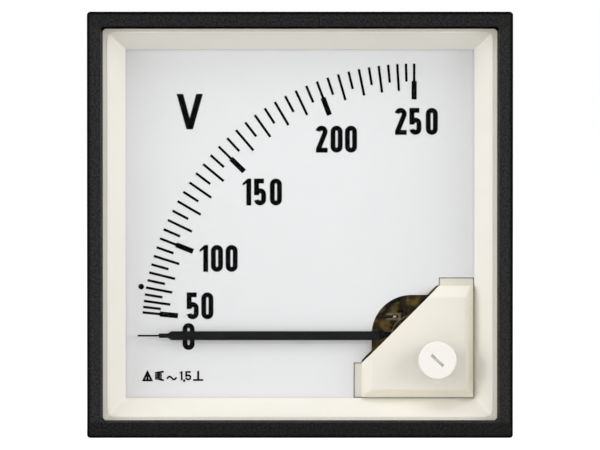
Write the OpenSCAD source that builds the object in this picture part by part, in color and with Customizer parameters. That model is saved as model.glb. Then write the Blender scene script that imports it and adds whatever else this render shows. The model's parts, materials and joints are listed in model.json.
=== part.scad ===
// Square analog panel meter, 96 x 96 mm front, with a 90 degree quadrant scale and a
// moving-iron movement in its lower right corner.
// X points right, Y points back into the panel, Z points up. The origin is the centre of
// the plane in which the back of the bezel meets the panel.

/* [Front frame] */
// Width and height of the square collar that goes through the panel
collar_w = 91; // [88:0.5:94]
// How far the bezel reaches past the collar, over the panel
panel_overlap = 2.5; // [2.2:0.1:3.2]
// Depth of the bezel in front of the panel
bezel_d = 5.5; // [5.3:0.1:6.5]
// Width of the flat front face of the bezel
bezel_face = 3; // [2.7:0.1:3.3]
// Sideways run of the bevel inside the front face
bezel_bevel = 0.55; // [0.4:0.05:0.7]
// Depth of the front lip that holds the window
bezel_lip = 1.2; // [1:0.1:1.5]
// Radius of the outer corners of the bezel
bezel_corner_r = 0.7; // [0.4:0.1:1.5]
// Corner radius of the window opening, measured at the window
bezel_opening_r = 1.3; // [0.9:0.1:1.7]
// Gap between the bezel and the collar on each side
bezel_fit = 0.15; // [0.1:0.05:0.25]
// Width of each snap tongue of the bezel
tongue_w = 14; // [10:1:18]
// Thickness of each snap tongue
tongue_t = 1.2; // [1:0.1:1.3]
// Length of each snap tongue behind the panel face
tongue_len = 8; // [6.5:0.5:9.5]
// Height of the hook at the end of a snap tongue
tongue_hook = 0.6; // [0.4:0.1:0.6]

/* [Window and mask] */
// Thickness of the clear window
window_t = 1.8; // [1.5:0.1:2]
// Gap between the edge of the window and the bezel pocket
window_gap = 0.1; // [0.05:0.05:0.2]
// Thickness of the flat flange of the mask frame
mask_flange_t = 0.8; // [0.6:0.1:0.9]
// Height of the bead that the window rests on
mask_step = 0.4; // [0.3:0.1:0.5]
// Width of that bead
mask_bead = 0.3; // [0.2:0.05:0.4]
// Inset of the bead from the outside of the collar
mask_inset = 2.1; // [1.9:0.05:2.2]
// Sideways run of the sloping face of the mask
mask_run = 3.7; // [3.3:0.1:4.1]
// Depth from the window to the dial
mask_drop = 6; // [5.8:0.1:6.6]
// Height of the straight edge of the mask at the dial
mask_lip = 0.4; // [0.1:0.1:0.5]
// Thickness of the foot of the mask on the dial
mask_foot = 1.2; // [0.9:0.1:1.3]

/* [Dial] */
// Thickness of the dial plate
dial_t = 0.8; // [0.6:0.1:1]
// Gap between the edge of the dial plate and the collar
dial_margin = 1.3; // [1.1:0.1:1.5]
// Corner radius of the dial plate
dial_corner_r = 2; // [1:0.5:3]
// Thickness of the printed marks
ink_t = 0.05; // [0.04:0.01:0.08]
// Width of the cut-out at the movement, left of the pivot
dial_hole_x = 9.5; // [9.4:0.05:10.2]
// Height of the cut-out at the movement, above the pivot
dial_hole_z = 9.6; // [9.4:0.05:10.2]
// Corner radius of that cut-out
dial_hole_r = 8.95; // [7:0.05:9.2]
// Inset of the pivot from the two nearest edges of the visible dial
pivot_inset = 13.7; // [13.5:0.1:14.2]

/* [Scale] */
// Full-scale value
scale_full = 250; // [100:50:500]
// Lowest value with a mark
scale_first = 50; // [50:50:50]
// Step between two marks
scale_step = 5; // [5:5:10]
// Angle swept from zero to full scale
scale_sweep = 90.1; // [88:0.1:90.2]
// Exponent of the scale law
scale_power = 2.186; // [1.8:0.01:2.4]
// Weight of the straightening term of the scale law
scale_bend = 1.252; // [1:0.01:1.4]
// Gap between the pointer tip circle and the outer end of the marks
scale_gap = 0.9; // [0.5:0.1:1.5]
// Length of the shortest mark
mark_len = 3.9; // [3:0.1:4.4]
// Extra length of each second mark
mark_extra = 2; // [1:0.1:2.4]
// Extra length of the main marks past the second marks
mark_main = 2; // [1:0.1:2.4]
// Width of the fine marks
mark_w = 0.42; // [0.3:0.02:0.5]
// Width of the thick part of the main marks
mark_main_w = 1.03; // [0.8:0.05:1.2]
// Value at which a dot shows the start of the accurate range
dot_value = 70; // [60:5:90]
// Diameter of that dot
dot_d = 1.15; // [0.6:0.05:1.3]
// Gap between the marks and that dot
dot_gap = 0.6; // [0.4:0.1:0.8]

/* [Pointer] */
// Gap from the pointer tip to the mask at full scale
tip_gap = 2.7; // [2.3:0.1:3.2]
// Length of the fine needle at the tip
needle_len = 4.8; // [4:0.1:5.5]
// Width of the fine needle
needle_w = 0.4; // [0.3:0.05:0.6]
// Length of the neck behind the needle
neck_len = 2; // [1.5:0.1:2.6]
// Width of the neck
neck_w = 1; // [0.8:0.05:1.2]
// Length of the taper from the neck to the bar
taper_len = 0.8; // [0.5:0.1:1.5]
// Width of the pointer bar
bar_w = 2; // [1.6:0.1:2.2]
// Thickness of the pointer sheet
pointer_t = 0.25; // [0.2:0.05:0.35]
// Depth of the folded edges of the bar
bar_fold = 0.8; // [0.6:0.1:1.1]
// Height of the pointer face above the dial
pointer_lift = 1.8; // [1.6:0.1:2]
// Height of the pointer at rest above the line through its pivot
pointer_rise = 0.45; // [0:0.05:0.5]
// Radius at which the pointer cranks down towards the hub
crank_r = 8.4; // [8:0.1:8.6]
// Sideways run of the crank
crank_run = 1.2; // [0.8:0.1:1.6]

/* [Corner cover] */
// Width and height of the cover
cover_w = 25.25; // [25:0.05:26]
// Gap between the cover and the mask window
cover_gap = 0.2; // [0.05:0.05:0.25]
// Legs of the corner that is cut off along the diagonal
cover_cut = 17.5; // [17:0.1:18]
// Height of the cover above the dial
cover_h = 3.8; // [3.6:0.1:4.2]
// Wall of the cover
cover_t = 1.1; // [0.9:0.1:1.2]
// Sideways run of the bevelled edges
cover_bevel = 2.4; // [2:0.1:2.6]
// Width of the slope along the two edges beside the mask
cover_bevel_far = 1.6; // [1.2:0.1:2]
// Drop of the bevelled edges
cover_drop = 1.8; // [1.4:0.1:2]
// Drop of the slope along the two edges beside the mask
cover_drop_far = 2.5; // [1.8:0.1:2.6]
// Reach of the two foot tabs past the cover
tab_reach = 1.65; // [1.4:0.05:2]
// Length of the two foot tabs
tab_len = 7.65; // [7:0.05:7.7]
// Clearance of each tab in its notch of the dial
tab_gap = 0.15; // [0.1:0.05:0.25]
// Depth of the tabs below the face of the dial
tab_sink = 0.2; // [0:0.05:0.3]
// Side clearance of the spigots in the dial cut-out
spigot_gap = 0.1; // [0.05:0.05:0.15]
// Reach of the snap lips behind the dial
snap_reach = 0.5; // [0.3:0.1:0.6]
// Width of the dark line between the dial and the open side of the cover
diagonal_gap = 0.4; // [0.3:0.05:0.6]
// Clearance of the hole round the eccentric pin
cover_hole_gap = 0.6; // [0.4:0.1:0.8]

/* [Zero adjuster] */
// Distance of the adjuster from the pivot, to the right
adjuster_dx = 5.3; // [5.2:0.05:5.4]
// Distance of the adjuster from the pivot, downwards
adjuster_dz = 4.9; // [4.8:0.05:5]
// Diameter of the adjuster head
adjuster_d = 8.6; // [8:0.1:9]
// Thickness of the adjuster head
adjuster_t = 0.95; // [0.8:0.05:1]
// Diameter of the adjuster shank in the window
shank_d = 4; // [3.6:0.1:4.4]
// Radial running clearance of the shank
shank_fit = 0.05; // [0.03:0.01:0.08]
// Length of the screwdriver slot
slot_len = 3.7; // [3.2:0.1:4]
// Width of the screwdriver slot
slot_w = 0.67; // [0.5:0.01:0.8]
// Depth of the screwdriver slot
slot_deep = 0.8; // [0.6:0.1:0.9]
// Eccentricity of the pin
pin_offset = 1; // [0.8:0.05:1.1]
// Diameter of the eccentric pin
pin_d = 1; // [0.8:0.05:1.2]
// Thickness of the retaining ring
clip_t = 0.45; // [0.4:0.05:0.5]
// Outer diameter of the retaining ring
clip_d = 6.4; // [6:0.1:6.8]
// Depth of the groove for the retaining ring
clip_groove = 0.3; // [0.2:0.05:0.4]

/* [Housing] */
// Wall of the collar
collar_wall = 2.2; // [2.1:0.1:2.3]
// Depth of the collar behind the panel face
collar_d = 16; // [15:0.5:18]
// Step from the collar in to the body on each side
body_step = 1.5; // [1.3:0.1:1.7]
// Wall of the body behind the collar
body_wall = 2.2; // [1.8:0.1:2.4]
// Depth of the body behind the panel face
body_d = 42.2; // [41.5:0.1:45]
// Thickness of the rear wall
rear_wall = 2.2; // [1.8:0.1:2.6]
// Outer corner radius of the collar
collar_corner_r = 2; // [1:0.5:3]
// Width of the ribs that carry the dial
ledge_w = 2.5; // [2.2:0.1:2.7]
// Thickness of those ribs
ledge_rib_t = 1.4; // [1:0.1:2]
// Number of those ribs on each side
ledge_ribs = 5; // [3:2:7]
// Width of the two keys that centre the dial
key_w = 3; // [2.4:0.1:4]
// Clearance of the dial on its keys
key_gap = 0.1; // [0.05:0.05:0.2]
// Diameter of the bosses that carry the movement
boss_d = 5; // [4.6:0.1:5.4]
// Inset of the corner boss from the walls of the body
boss_inset = 4.6; // [4.4:0.1:4.8]
// Distance from the corner boss to the other two
boss_pitch = 29; // [28.5:0.1:29.5]
// Distance between the two rails of a clamp holder
rail_pitch = 8; // [7:0.5:10]
// Thickness of a clamp rail
rail_t = 1.4; // [1.2:0.1:1.6]
// Reach of the lip of a clamp rail over the slot
rail_lip = 0.9; // [0.6:0.1:1.2]
// Distance of the clamp holders from the middle
rail_offset = 27; // [24:0.5:30]
// Length of the clamp rails
rail_len = 20; // [16:1:22]

/* [Movement] */
// Gap between the dial and the zero lever
lever_gap = 0.5; // [0.45:0.05:0.6]
// Thickness of the zero lever
lever_t = 0.6; // [0.5:0.05:0.7]
// Play of the zero lever on either side
lever_play = 0.15; // [0.1:0.05:0.25]
// Diameter of the bush on which the lever turns
bush_d = 4; // [3.8:0.1:4.2]
// Radial running clearance of the lever on its bush
lever_fit = 0.05; // [0.03:0.01:0.08]
// Width of the ring of the lever round its bush
lever_ring = 1.5; // [1.3:0.1:1.6]
// Width of each prong of the fork
prong_w = 1; // [0.8:0.1:1.1]
// Clearance of the fork on the eccentric pin, each side
fork_gap = 0.12; // [0.1:0.01:0.15]
// Thickness of the bearing bridge
bridge_t = 1.2; // [1:0.1:1.4]
// Width of the arms of the bridge
bridge_w = 3.2; // [2.8:0.1:3.6]
// Distance of the bridge pillars from the pivot
bridge_r = 11.8; // [11.6:0.1:12.2]
// Angle of the bridge pillars on either side of the corner direction
bridge_spread = 25; // [24:0.5:27]
// Diameter of the bridge pillars
bridge_pillar_d = 3; // [2.6:0.1:3]
// Width of the two stop fingers
stop_w = 1.2; // [1:0.1:1.4]
// Angle of the stop fingers past the ends of the travel
stop_angle = 22; // [21.5:0.5:24]
// Diameter of the jewel screws
jewel_screw_d = 2.4; // [2.2:0.1:2.6]
// Diameter of the jewels
jewel_d = 1.6; // [1.4:0.1:1.7]
// Thickness of the jewels
jewel_t = 0.8; // [0.7:0.05:0.9]
// Diameter of the spindle
spindle_d = 1.2; // [1:0.05:1.3]
// Room between the bridge and the spring collet
collet_gap = 0.9; // [0.8:0.05:1.1]
// Diameter of the spring collet
collet_d = 3; // [2.6:0.1:3.2]
// Length of the spring collet
collet_h = 0.95; // [0.85:0.05:1.1]
// Width of the hairspring strip
spring_w = 0.5; // [0.4:0.05:0.6]
// Thickness of the hairspring strip
spring_t = 0.12; // [0.1:0.01:0.15]
// Turns of the hairspring
spring_turns = 4.5; // [3.5:1:5.5]
// Diameter of the post that holds the hairspring
spring_post_d = 1; // [0.8:0.05:1.1]
// Distance of the spring post from the pivot
stud_r = 5.6; // [5.4:0.1:5.7]
// Thickness of the hub arm of the pointer
hub_t = 0.6; // [0.5:0.05:0.7]
// Width of the hub arm of the pointer
hub_arm_w = 1.2; // [1:0.1:1.8]
// Outer diameter of the pointer hub
hub_d = 3.4; // [3:0.1:3.8]
// Diameter of the balance arms
balance_rod_d = 0.5; // [0.4:0.05:0.55]
// Reach of the balance arms
balance_r = 9.2; // [8.8:0.1:9.4]
// Diameter of the balance weights
weight_d = 2.8; // [2.4:0.1:2.9]
// Length of the two side weights
weight_len = 1.4; // [1.2:0.1:2]
// Length of the tail weight
tail_len = 1.5; // [1.2:0.1:2.4]
// Angle between the tail and each side arm
balance_spread = 60; // [55:5:90]
// Gap between the hub arm and the front plate
plate_gap = 2.8; // [2.6:0.1:3.2]
// Thickness of the movement plates
plate_t = 1; // [0.8:0.1:1.2]
// Diameter of the hole in the front plate round the spindle
plate_hole_d = 8; // [7:0.5:9]
// Length and height of the window in the front plate, beside the pointer
plate_window = [9, 3.4]; // [2:0.1:12]
// Slope of that window
plate_window_tilt = 20; // [0:5:30]
// Width of the notch in the front plate
notch_w = 1.7; // [1.4:0.1:2]
// Reach of the front plate from the pivot towards the middle of the meter
plate_reach = 20.3; // [20.2:0.1:21]
// Reach of the front plate from the pivot towards the corner
plate_edge = 14; // [13.8:0.1:14.3]
// Diameter of the flanges of the coil former
flange_d = 24.8; // [24.6:0.1:25.4]
// Bore of the coil former
coil_bore = 18; // [17:0.5:18]
// Length of the coil former
coil_len = 15; // [14:0.5:15.5]
// Thickness of the walls and flanges of the coil former
former_t = 1.2; // [1:0.1:1.4]
// Outer diameter of the winding
winding_d = 24; // [22.5:0.5:24.4]
// Thickness of the two irons
iron_t = 0.4; // [0.3:0.05:0.5]
// Length of the moving iron
iron_len = 7; // [6:0.5:7.5]
// Angle that the moving iron spans
iron_span = 50; // [40:5:60]
// Direction of the middle of the moving iron at zero
iron_dir = 205; // [195:5:215]
// Radius of the moving iron
iron_r = 6.4; // [6:0.1:6.8]
// Distance of the pillars between the plates from the pivot, along X and Z
pillar_off = 11.2; // [11:0.1:11.4]
// Diameter of those pillars
pillar_d = 3; // [2.6:0.1:3.2]
// Rim of the rear plate round its pillars
plate_rim = 0.5; // [0.3:0.1:0.8]
// Diameter of the plate screws
screw_d = 1.6; // [1.4:0.1:1.8]
// Grip of the plate screws in their pillars
screw_grip = 3; // [2:0.5:4]
// Diameter of the screw heads
screw_head_d = 3.2; // [2.8:0.1:3.4]
// Thickness of the screw heads
screw_head_t = 0.8; // [0.6:0.1:1]
// Diameter of the screws that hold the movement to the housing
frame_screw_d = 2.2; // [2:0.1:2.5]
// Head diameter of those screws
frame_head_d = 4.2; // [3.8:0.1:4.6]
// Length of those screws in their bosses
frame_screw_len = 9; // [7:0.5:12]
// Diameter of the damping disc
disc_d = 9; // [8:0.5:9.5]
// Side clearance of the damping disc in its cup
disc_gap = 0.6; // [0.4:0.1:0.8]
// Depth of the damping cup
cup_d = 3.6; // [3.2:0.1:3.8]
// Wall of the damping cup
cup_wall = 0.6; // [0.5:0.1:0.8]

/* [Wiring] */
// Width of the solder tags
tag_w = 1.6; // [1.2:0.1:1.8]
// Thickness of the solder tags
tag_thick = 0.3; // [0.2:0.05:0.4]
// Free length of wire before its first bend
lead_run = 5; // [4:0.5:6]
// Diameter of the leads
lead_d = 0.7; // [0.5:0.1:0.9]
// Diameter of the series resistor
resistor_d = 5; // [4:0.5:6]
// Length of the series resistor
resistor_len = 16; // [14:1:18]
// Width of the contact strips
strip_w = 6; // [5:0.5:7]
// Thickness of the contact strips
strip_t = 0.6; // [0.5:0.1:0.8]

/* [Terminals] */
// Distance between the terminal studs
stud_pitch = 38; // [34:1:42]
// Height of the terminal studs above the middle
stud_z = 4; // [0:1:8]
// Diameter of the terminal studs
stud_d = 4; // [3.5:0.5:5]
// Length of the studs behind the terminal pad
stud_len = 12.5; // [11:0.5:14]
// Radial clearance of washers and nuts on the studs
stud_fit = 0.1; // [0.05:0.05:0.2]
// Width across the flats of the nuts
nut_af = 7; // [6.5:0.5:8]
// Height of a nut
nut_h = 3.2; // [2.6:0.1:3.4]
// Diameter of the washers
washer_d = 9; // [8.5:0.5:10]
// Thickness of the washers
washer_t = 0.8; // [0.6:0.1:1]
// Width of the square wire clamps
clamp_w = 9; // [8.5:0.5:10]
// Thickness of the square wire clamps
clamp_t = 1; // [0.8:0.1:1.2]
// Height of the terminal pad
pad_h = 2; // [1.5:0.5:3]
// Height of the pad from bottom to top
pad_w = 20; // [18:1:24]
// Height of the barrier between the terminals
barrier_h = 8; // [6:1:10]
// Thickness of the barrier
barrier_t = 2; // [1.5:0.5:3]

/* [Hidden] */
$fn = 48;

// Extra length of a tool that cuts right through
over = 1;
// Depth to which a rib or rail is rooted in the wall that carries it
root = 0.2;
// Flat clearance between pieces that move past each other
play = 0.05;
// Clearance of a piece that is pushed or screwed into another and stays there
set_fit = 0.02;

// Half widths of the square parts, from the outside in
collar_half = collar_w / 2;
bezel_half = collar_half + panel_overlap;
lip_half = bezel_half - bezel_face;
lip_back_half = lip_half - bezel_bevel;
pocket_half = collar_half + bezel_fit;
window_half = pocket_half - window_gap;
bead_half = collar_half - mask_inset;
mask_top_half = bead_half - mask_bead;
sight_half = mask_top_half - mask_run;
collar_in = collar_half - collar_wall;
mask_root_half = collar_in - 3 * play;
dial_half = collar_in - dial_margin;
body_half = collar_half - body_step;
body_in = body_half - body_wall;

// Levels from front to back
window_front = bezel_lip - bezel_d;
window_back = window_front + window_t;
flange_front = window_back + mask_step;
housing_front = flange_front + mask_flange_t;
dial_front = window_back + mask_drop;
dial_back = dial_front + dial_t;
pointer_front = dial_front - pointer_lift;
cover_front = dial_front - cover_h;
lever_front = dial_back + lever_gap;
lever_back = lever_front + lever_t;
bridge_front = lever_back + lever_play;
bridge_back = bridge_front + bridge_t;
collet_front = bridge_back + collet_gap;
hub_front = collet_front + collet_h;
hub_back = hub_front + hub_t;
plate_front = hub_back + plate_gap;
plate_back = plate_front + plate_t;
rear_plate_front = plate_back + coil_len;
rear_plate_back = rear_plate_front + plate_t;
collar_floor = collar_d - body_wall;
rear_in = body_d - rear_wall;
pad_back = body_d + pad_h;

// Pivot of the movement and centre of the zero adjuster, as [x, z]
pivot = [sight_half - pivot_inset, pivot_inset - sight_half];
adjuster = pivot + [adjuster_dx, -adjuster_dz];
adjuster_reach = norm([adjuster_dx, adjuster_dz]);
adjuster_dir = atan2(-adjuster_dz, adjuster_dx);

// Lengths from the pivot
pointer_len = pivot[0] + sight_half - tip_gap;
scale_r = pointer_len - scale_gap;

// Edges of the corner cover, and how far the dial is cut back from its open side
cover_far = sight_half - cover_gap;
cover_near = cover_far - cover_w;
cover_mid = cover_far - cover_w / 2;
cut_far = cover_far - cover_t;

// Bosses for the movement in the corner of the housing
boss_far = body_in - boss_inset;
boss_near = boss_far - boss_pitch;
boss_places = [[boss_far, -boss_far], [boss_far, -boss_near], [boss_near, -boss_far]];
plate_pillar_places = [pivot + [pillar_off, pillar_off], pivot - [pillar_off, pillar_off]];
bridge_pillar_places = [polar(bridge_spread - 45, bridge_r), polar(-bridge_spread - 45, bridge_r)];

// Direction half way between the two stops of the pointer
stop_mid = 135 - asin(pointer_rise / crank_r);

notch_place = [-2.9, 5.5];
window_place = [-1.6, 8.4];
tag_places = [pivot + [-4.6, 4.4], pivot + [-13, 12]];

// Half width of the rear plate, levels of the terminal stack
rear_plate_half = pillar_off + pillar_d / 2 + plate_rim;
washer_back = pad_back + washer_t;
lock_nut_back = washer_back + nut_h;
clamp_back = lock_nut_back + clamp_t;
terminal_places = [[-stud_pitch / 2, stud_z], [stud_pitch / 2, stud_z]];

// Point at an angle from +X towards +Z round the pivot
function polar(a, r) = pivot + r * [cos(a), sin(a)];
// Point at a pointer angle, which is zero along -X and grows towards +Z
function on_scale(a, r) = polar(180 - a, r);
// Pointer angle of a value, with a cramped start as in every moving-iron meter
function scale_angle(v) =
    let (f = v / scale_full) scale_sweep * pow(f, scale_power) * (1 + scale_bend * (1 - f));

// Flat shape in X and Z, as thick as the stretch of Y from y0 to y1
module slab(y0, y1) {
    translate([0, y1, 0]) rotate([90, 0, 0]) linear_extrude(y1 - y0) children();
}

// Round bar along Y at the point p
module rod(p, y0, y1, r) {
    translate([p[0], y1, p[1]]) rotate([90, 0, 0]) cylinder(h = y1 - y0, r = r);
}

// Straight round bar between two points in space
module bar(a, b, r) {
    d = b - a;
    translate(a) rotate([0, acos(d[2] / norm(d)), atan2(d[1], d[0])]) cylinder(h = norm(d), r = r);
}

// Unit vector, and a vector turned square to the unit vector t
function unit(v) = v / norm(v);
function square_to(v, t) = unit(v - (v * t) * t);

// Route through the given points with its corners rounded over the length b
function rounded_route(p, b) = [
    p[0],
    for (i = [1 : len(p) - 2]) for (t = [0 : 0.25 : 1])
        let (a = p[i] + b * unit(p[i - 1] - p[i]), c = p[i] + b * unit(p[i + 1] - p[i]))
        (1 - t) * (1 - t) * a + 2 * t * (1 - t) * p[i] + t * t * c,
    p[len(p) - 1]
];

// Side vectors of the rings along a route, carried on from one ring to the next
function ring_sides(dirs, side, i = 0) =
    let (here = square_to(side, dirs[i]))
    i == len(dirs) - 1 ? [here] : concat([here], ring_sides(dirs, here, i + 1));

// Round wire of radius r swept along a route
module wire(route, r, sides = 8) {
    n = len(route);
    dirs = [for (i = [0 : n - 1]) unit(route[min(i + 1, n - 1)] - route[max(i - 1, 0)])];
    across = ring_sides(dirs, unit([1, 1, 1]));
    polyhedron(
        points = [
            for (i = [0 : n - 1]) for (k = [0 : sides - 1])
                let (a = 360 * k / sides)
                route[i] + r * (cos(a) * across[i] + sin(a) * cross(dirs[i], across[i]))
        ],
        faces = [
            [for (k = [0 : sides - 1]) k],
            [for (k = [sides - 1 : -1 : 0]) (n - 1) * sides + k],
            for (i = [0 : n - 2]) for (k = [0 : sides - 1]) let (m = (k + 1) % sides)
                for (f = [[0, 1, 2], [0, 2, 3]])
                    let (q = [i * sides + k, i * sides + m, (i + 1) * sides + m, (i + 1) * sides + k])
                    [q[f[2]], q[f[1]], q[f[0]]]
        ]
    );
}

// Turned shape about an axis along Y, from a profile of [radius, y]
module turned(p, profile) {
    translate([p[0], 0, p[1]]) rotate([-90, 0, 0]) rotate_extrude() polygon(profile);
}

// Ring sector round the pivot, from angle a0 to a1
module sector(r0, r1, y0, y1, a0, a1) {
    translate([pivot[0], y1, pivot[1]]) rotate([90, 0, 0]) rotate([0, 0, a0])
        rotate_extrude(angle = a1 - a0) translate([r0, 0]) square([r1 - r0, y1 - y0]);
}

// Rectangle with round corners
module rounded(w, h, r) {
    square([w - 2 * r, h], center = true);
    square([w, h - 2 * r], center = true);
    for (x = [-1, 1], z = [-1, 1]) translate([x * (w / 2 - r), z * (h / 2 - r)]) circle(r);
}

// Flat arm from the pivot in direction a, from r0 to r1
module arm(a, r0, r1, w) {
    translate(pivot) rotate(a) translate([r0, -w / 2]) square([r1 - r0, w]);
}

// Square funnel of half width h0 at y0 and h1 at y1, carried on by e at both ends
module hopper(h0, h1, y0, y1, e = 0) {
    s = (h1 - h0) / (y1 - y0);
    a = h0 - s * e;
    b = h1 + s * e;
    side = [[-a, y0 - e], [a, y0 - e], [b, y1 + e], [-b, y1 + e]];
    w = max(a, b);
    intersection() {
        translate([0, 0, -w]) linear_extrude(2 * w) polygon(side);
        rotate([0, 90, 0]) translate([0, 0, -w]) linear_extrude(2 * w) polygon(side);
    }
}

// Hexagon across the flats
module hexagon(af) {
    circle(r = af / 2 / cos(30), $fn = 6);
}

// Front frame: one moulding with a bevelled window opening and four snap tongues
module bezel() color([0.19, 0.195, 0.19]) {
    difference() {
        slab(-bezel_d, 0) rounded(2 * bezel_half, 2 * bezel_half, bezel_corner_r);
        bezel_opening();
        slab(window_front, over) rounded(2 * pocket_half, 2 * pocket_half, collar_corner_r);
    }
    for (a = [0 : 90 : 270]) rotate([0, a, 0]) tongue();
}

// Tapered opening of the front frame, with a cone in each corner
module bezel_opening() {
    e = 0.1;
    slope = bezel_bevel / bezel_lip;
    flat = lip_back_half - bezel_opening_r;
    r0 = bezel_opening_r + bezel_bevel + slope * e;
    r1 = bezel_opening_r - slope * e;
    intersection() {
        hopper(lip_half, lip_back_half, -bezel_d, window_front, e);
        slab(-bezel_d - over, window_front + over) {
            square([2 * flat, 4 * flat], center = true);
            square([4 * flat, 2 * flat], center = true);
        }
    }
    for (x = [-1, 1], z = [-1, 1]) turned([x * flat, z * flat], [
        [0, -bezel_d - e], [r0, -bezel_d - e], [r1, window_front + e], [0, window_front + e]
    ]);
}

// Snap tongue on the right side, with its root on the bezel and its hook turned inwards
module tongue() {
    inner = collar_half - tongue_t;
    translate([0, 0, -tongue_w / 2]) linear_extrude(tongue_w) polygon([
        [pocket_half + root, housing_front + play], [inner, housing_front + play],
        [inner, tongue_len - 3 * tongue_hook], [inner - tongue_hook, tongue_len - 2 * tongue_hook],
        [inner - tongue_hook, tongue_len - tongue_hook], [inner, tongue_len],
        [collar_half, tongue_len], [collar_half, 0], [pocket_half + root, 0]
    ]);
}

// Clear pane, with the bore in which the zero adjuster turns
module window() color([0.85, 0.9, 0.92, 0.3]) difference() {
    slab(window_front, window_back) rounded(2 * window_half, 2 * window_half, collar_corner_r);
    rod(adjuster, window_front - over, window_back + over, shank_d / 2 + shank_fit);
}

// Sloping frame between the window and the dial
module mask_frame() color([0.93, 0.91, 0.86]) difference() {
    union() {
        slab(flange_front, housing_front)
            rounded(2 * (collar_half - play), 2 * (collar_half - play), collar_corner_r);
        slab(window_back, housing_front) rounded(2 * bead_half, 2 * bead_half, collar_corner_r);
        intersection() {
            hopper(mask_root_half, sight_half + mask_foot, housing_front, dial_front);
            slab(housing_front, dial_front)
                rounded(2 * mask_root_half, 2 * mask_root_half, collar_corner_r);
        }
    }
    hopper(mask_top_half, sight_half, window_back, dial_front, mask_lip);
}

// Cut-out of the dial under the cover and round the movement, open to the diagonal
module dial_cutout() {
    hole = pivot + [-dial_hole_x, dial_hole_z];
    size = dial_hole_x + pivot_inset / 2;
    intersection() {
        translate([cover_near, -cut_far]) square([cut_far - cover_near, cut_far - cover_near]);
        translate([cover_near + cover_cut - diagonal_gap * sqrt(2), -cover_near]) rotate(45)
            translate([-2 * cover_w, -2 * cover_w]) square([4 * cover_w, 2 * cover_w]);
    }
    translate(hole + [dial_hole_r, -size]) square([size - dial_hole_r, size]);
    translate(hole + [0, -size]) square([size, size - dial_hole_r]);
    translate(hole + [dial_hole_r, -dial_hole_r]) circle(dial_hole_r);
    tab_notch();
    mirror([1, 1]) tab_notch();
}

// Notch of the dial for the left tab of the cover
module tab_notch() {
    translate([cover_near - tab_reach - tab_gap, -cover_far - tab_gap])
        square([tab_reach + cover_t + 2 * tab_gap, tab_len + 2 * tab_gap]);
}

// Painted sheet that carries the scale
module dial_plate() color([0.92, 0.92, 0.92]) slab(dial_front, dial_back) difference() {
    rounded(2 * dial_half, 2 * dial_half, dial_corner_r);
    dial_cutout();
    for (s = [-1, 1]) translate([s * dial_half, 0])
        square([2 * ledge_bite(), key_w + 2 * key_gap], center = true);
}

// Reach of the dial over the ribs that carry it
function ledge_bite() = dial_half - collar_in + ledge_w;

// Printed marks: short, longer at each second step, and stepped in width at each tenth
module scale_marks() color([0.06, 0.06, 0.06]) slab(dial_front - ink_t, dial_front) {
    for (v = [scale_first : scale_step : scale_full]) {
        place = round(v / scale_step);
        long = place % 2 == 0 ? mark_extra : 0;
        if (place % 10 == 0) {
            mark(v, scale_r - mark_len, mark_len, mark_w);
            mark(v, scale_r - mark_len - long - mark_main, long + mark_main, mark_main_w);
        } else {
            mark(v, scale_r - mark_len - long, mark_len + long, mark_w);
        }
    }
    translate(on_scale(scale_angle(dot_value), scale_r + dot_gap + dot_d / 2)) circle(d = dot_d);
}

// One bar of the scale at value v, from radius r outwards
module mark(v, r, len, w) {
    translate(pivot) rotate(180 - scale_angle(v)) translate([r, -w / 2]) square([len, w]);
}

// Outline of the cover, with the corner towards the dial cut off
module cover_outline() {
    keep = cover_w - cover_cut;
    translate([cover_far, -cover_far]) polygon([
        [over, -over], [-cover_w - over, -over], [-cover_w - over, keep - over],
        [over - keep, cover_w + over], [over, cover_w + over]
    ]);
}

// Body of the cover, smaller by d all round
module cover_block(d) {
    half = cover_w / 2 - d;
    front = cover_front + d;
    side = [
        [cover_bevel - half, front], [half - cover_bevel_far, front],
        [half, min(front + cover_drop_far, dial_front - root)],
        [half, dial_front], [-half, dial_front], [-half, front + cover_drop]
    ];
    translate([cover_mid, 0, -cover_mid]) intersection() {
        translate([0, 0, -half]) linear_extrude(2 * half) polygon(side);
        rotate([0, 90, 0]) translate([0, 0, -half]) linear_extrude(2 * half) polygon(side);
    }
}

// Shell over the movement, open at its diagonal side where the pointer comes out
module corner_cover() color([0.91, 0.9, 0.85]) {
    keep = cover_w - cover_cut;
    difference() {
        intersection() {
            slab(cover_front, dial_front) cover_outline();
            difference() {
                cover_block(0);
                cover_block(cover_t);
                slab(dial_front - over, dial_front + over)
                    translate([cover_mid, -cover_mid]) square(cover_w - 2 * cover_t, center = true);
            }
        }
        rod(adjuster, cover_front - over, cover_front + over + cover_t,
            pin_offset + pin_d / 2 + cover_hole_gap);
    }
    cover_tab();
    mirror([1, 0, 1]) cover_tab();
    spigot();
    mirror([1, 0, 1]) spigot();
}

// Flat tab outside the left wall, a little below the face of the dial
module cover_tab() {
    slab(dial_front + tab_sink, dial_back) translate([cover_near - tab_reach, -cover_far])
        square([tab_reach + cover_t, tab_len]);
    slab(dial_front - root, dial_back) translate([cover_near, -cover_far])
        square([cover_t, tab_len]);
}

// Spigot under the left wall, with a lip that snaps behind the dial
module spigot() {
    side = cover_near + spigot_gap;
    length = cover_w - cover_cut - 3 * cover_t;
    translate([0, 0, -cut_far + cover_t]) linear_extrude(length) polygon([
        [side, dial_front - root], [side, dial_back + play], [side - snap_reach, dial_back + play],
        [side, dial_back + snap_reach], [side + cover_t - spigot_gap, dial_back + snap_reach],
        [side + cover_t - spigot_gap, dial_front - root]
    ]);
}

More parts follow.
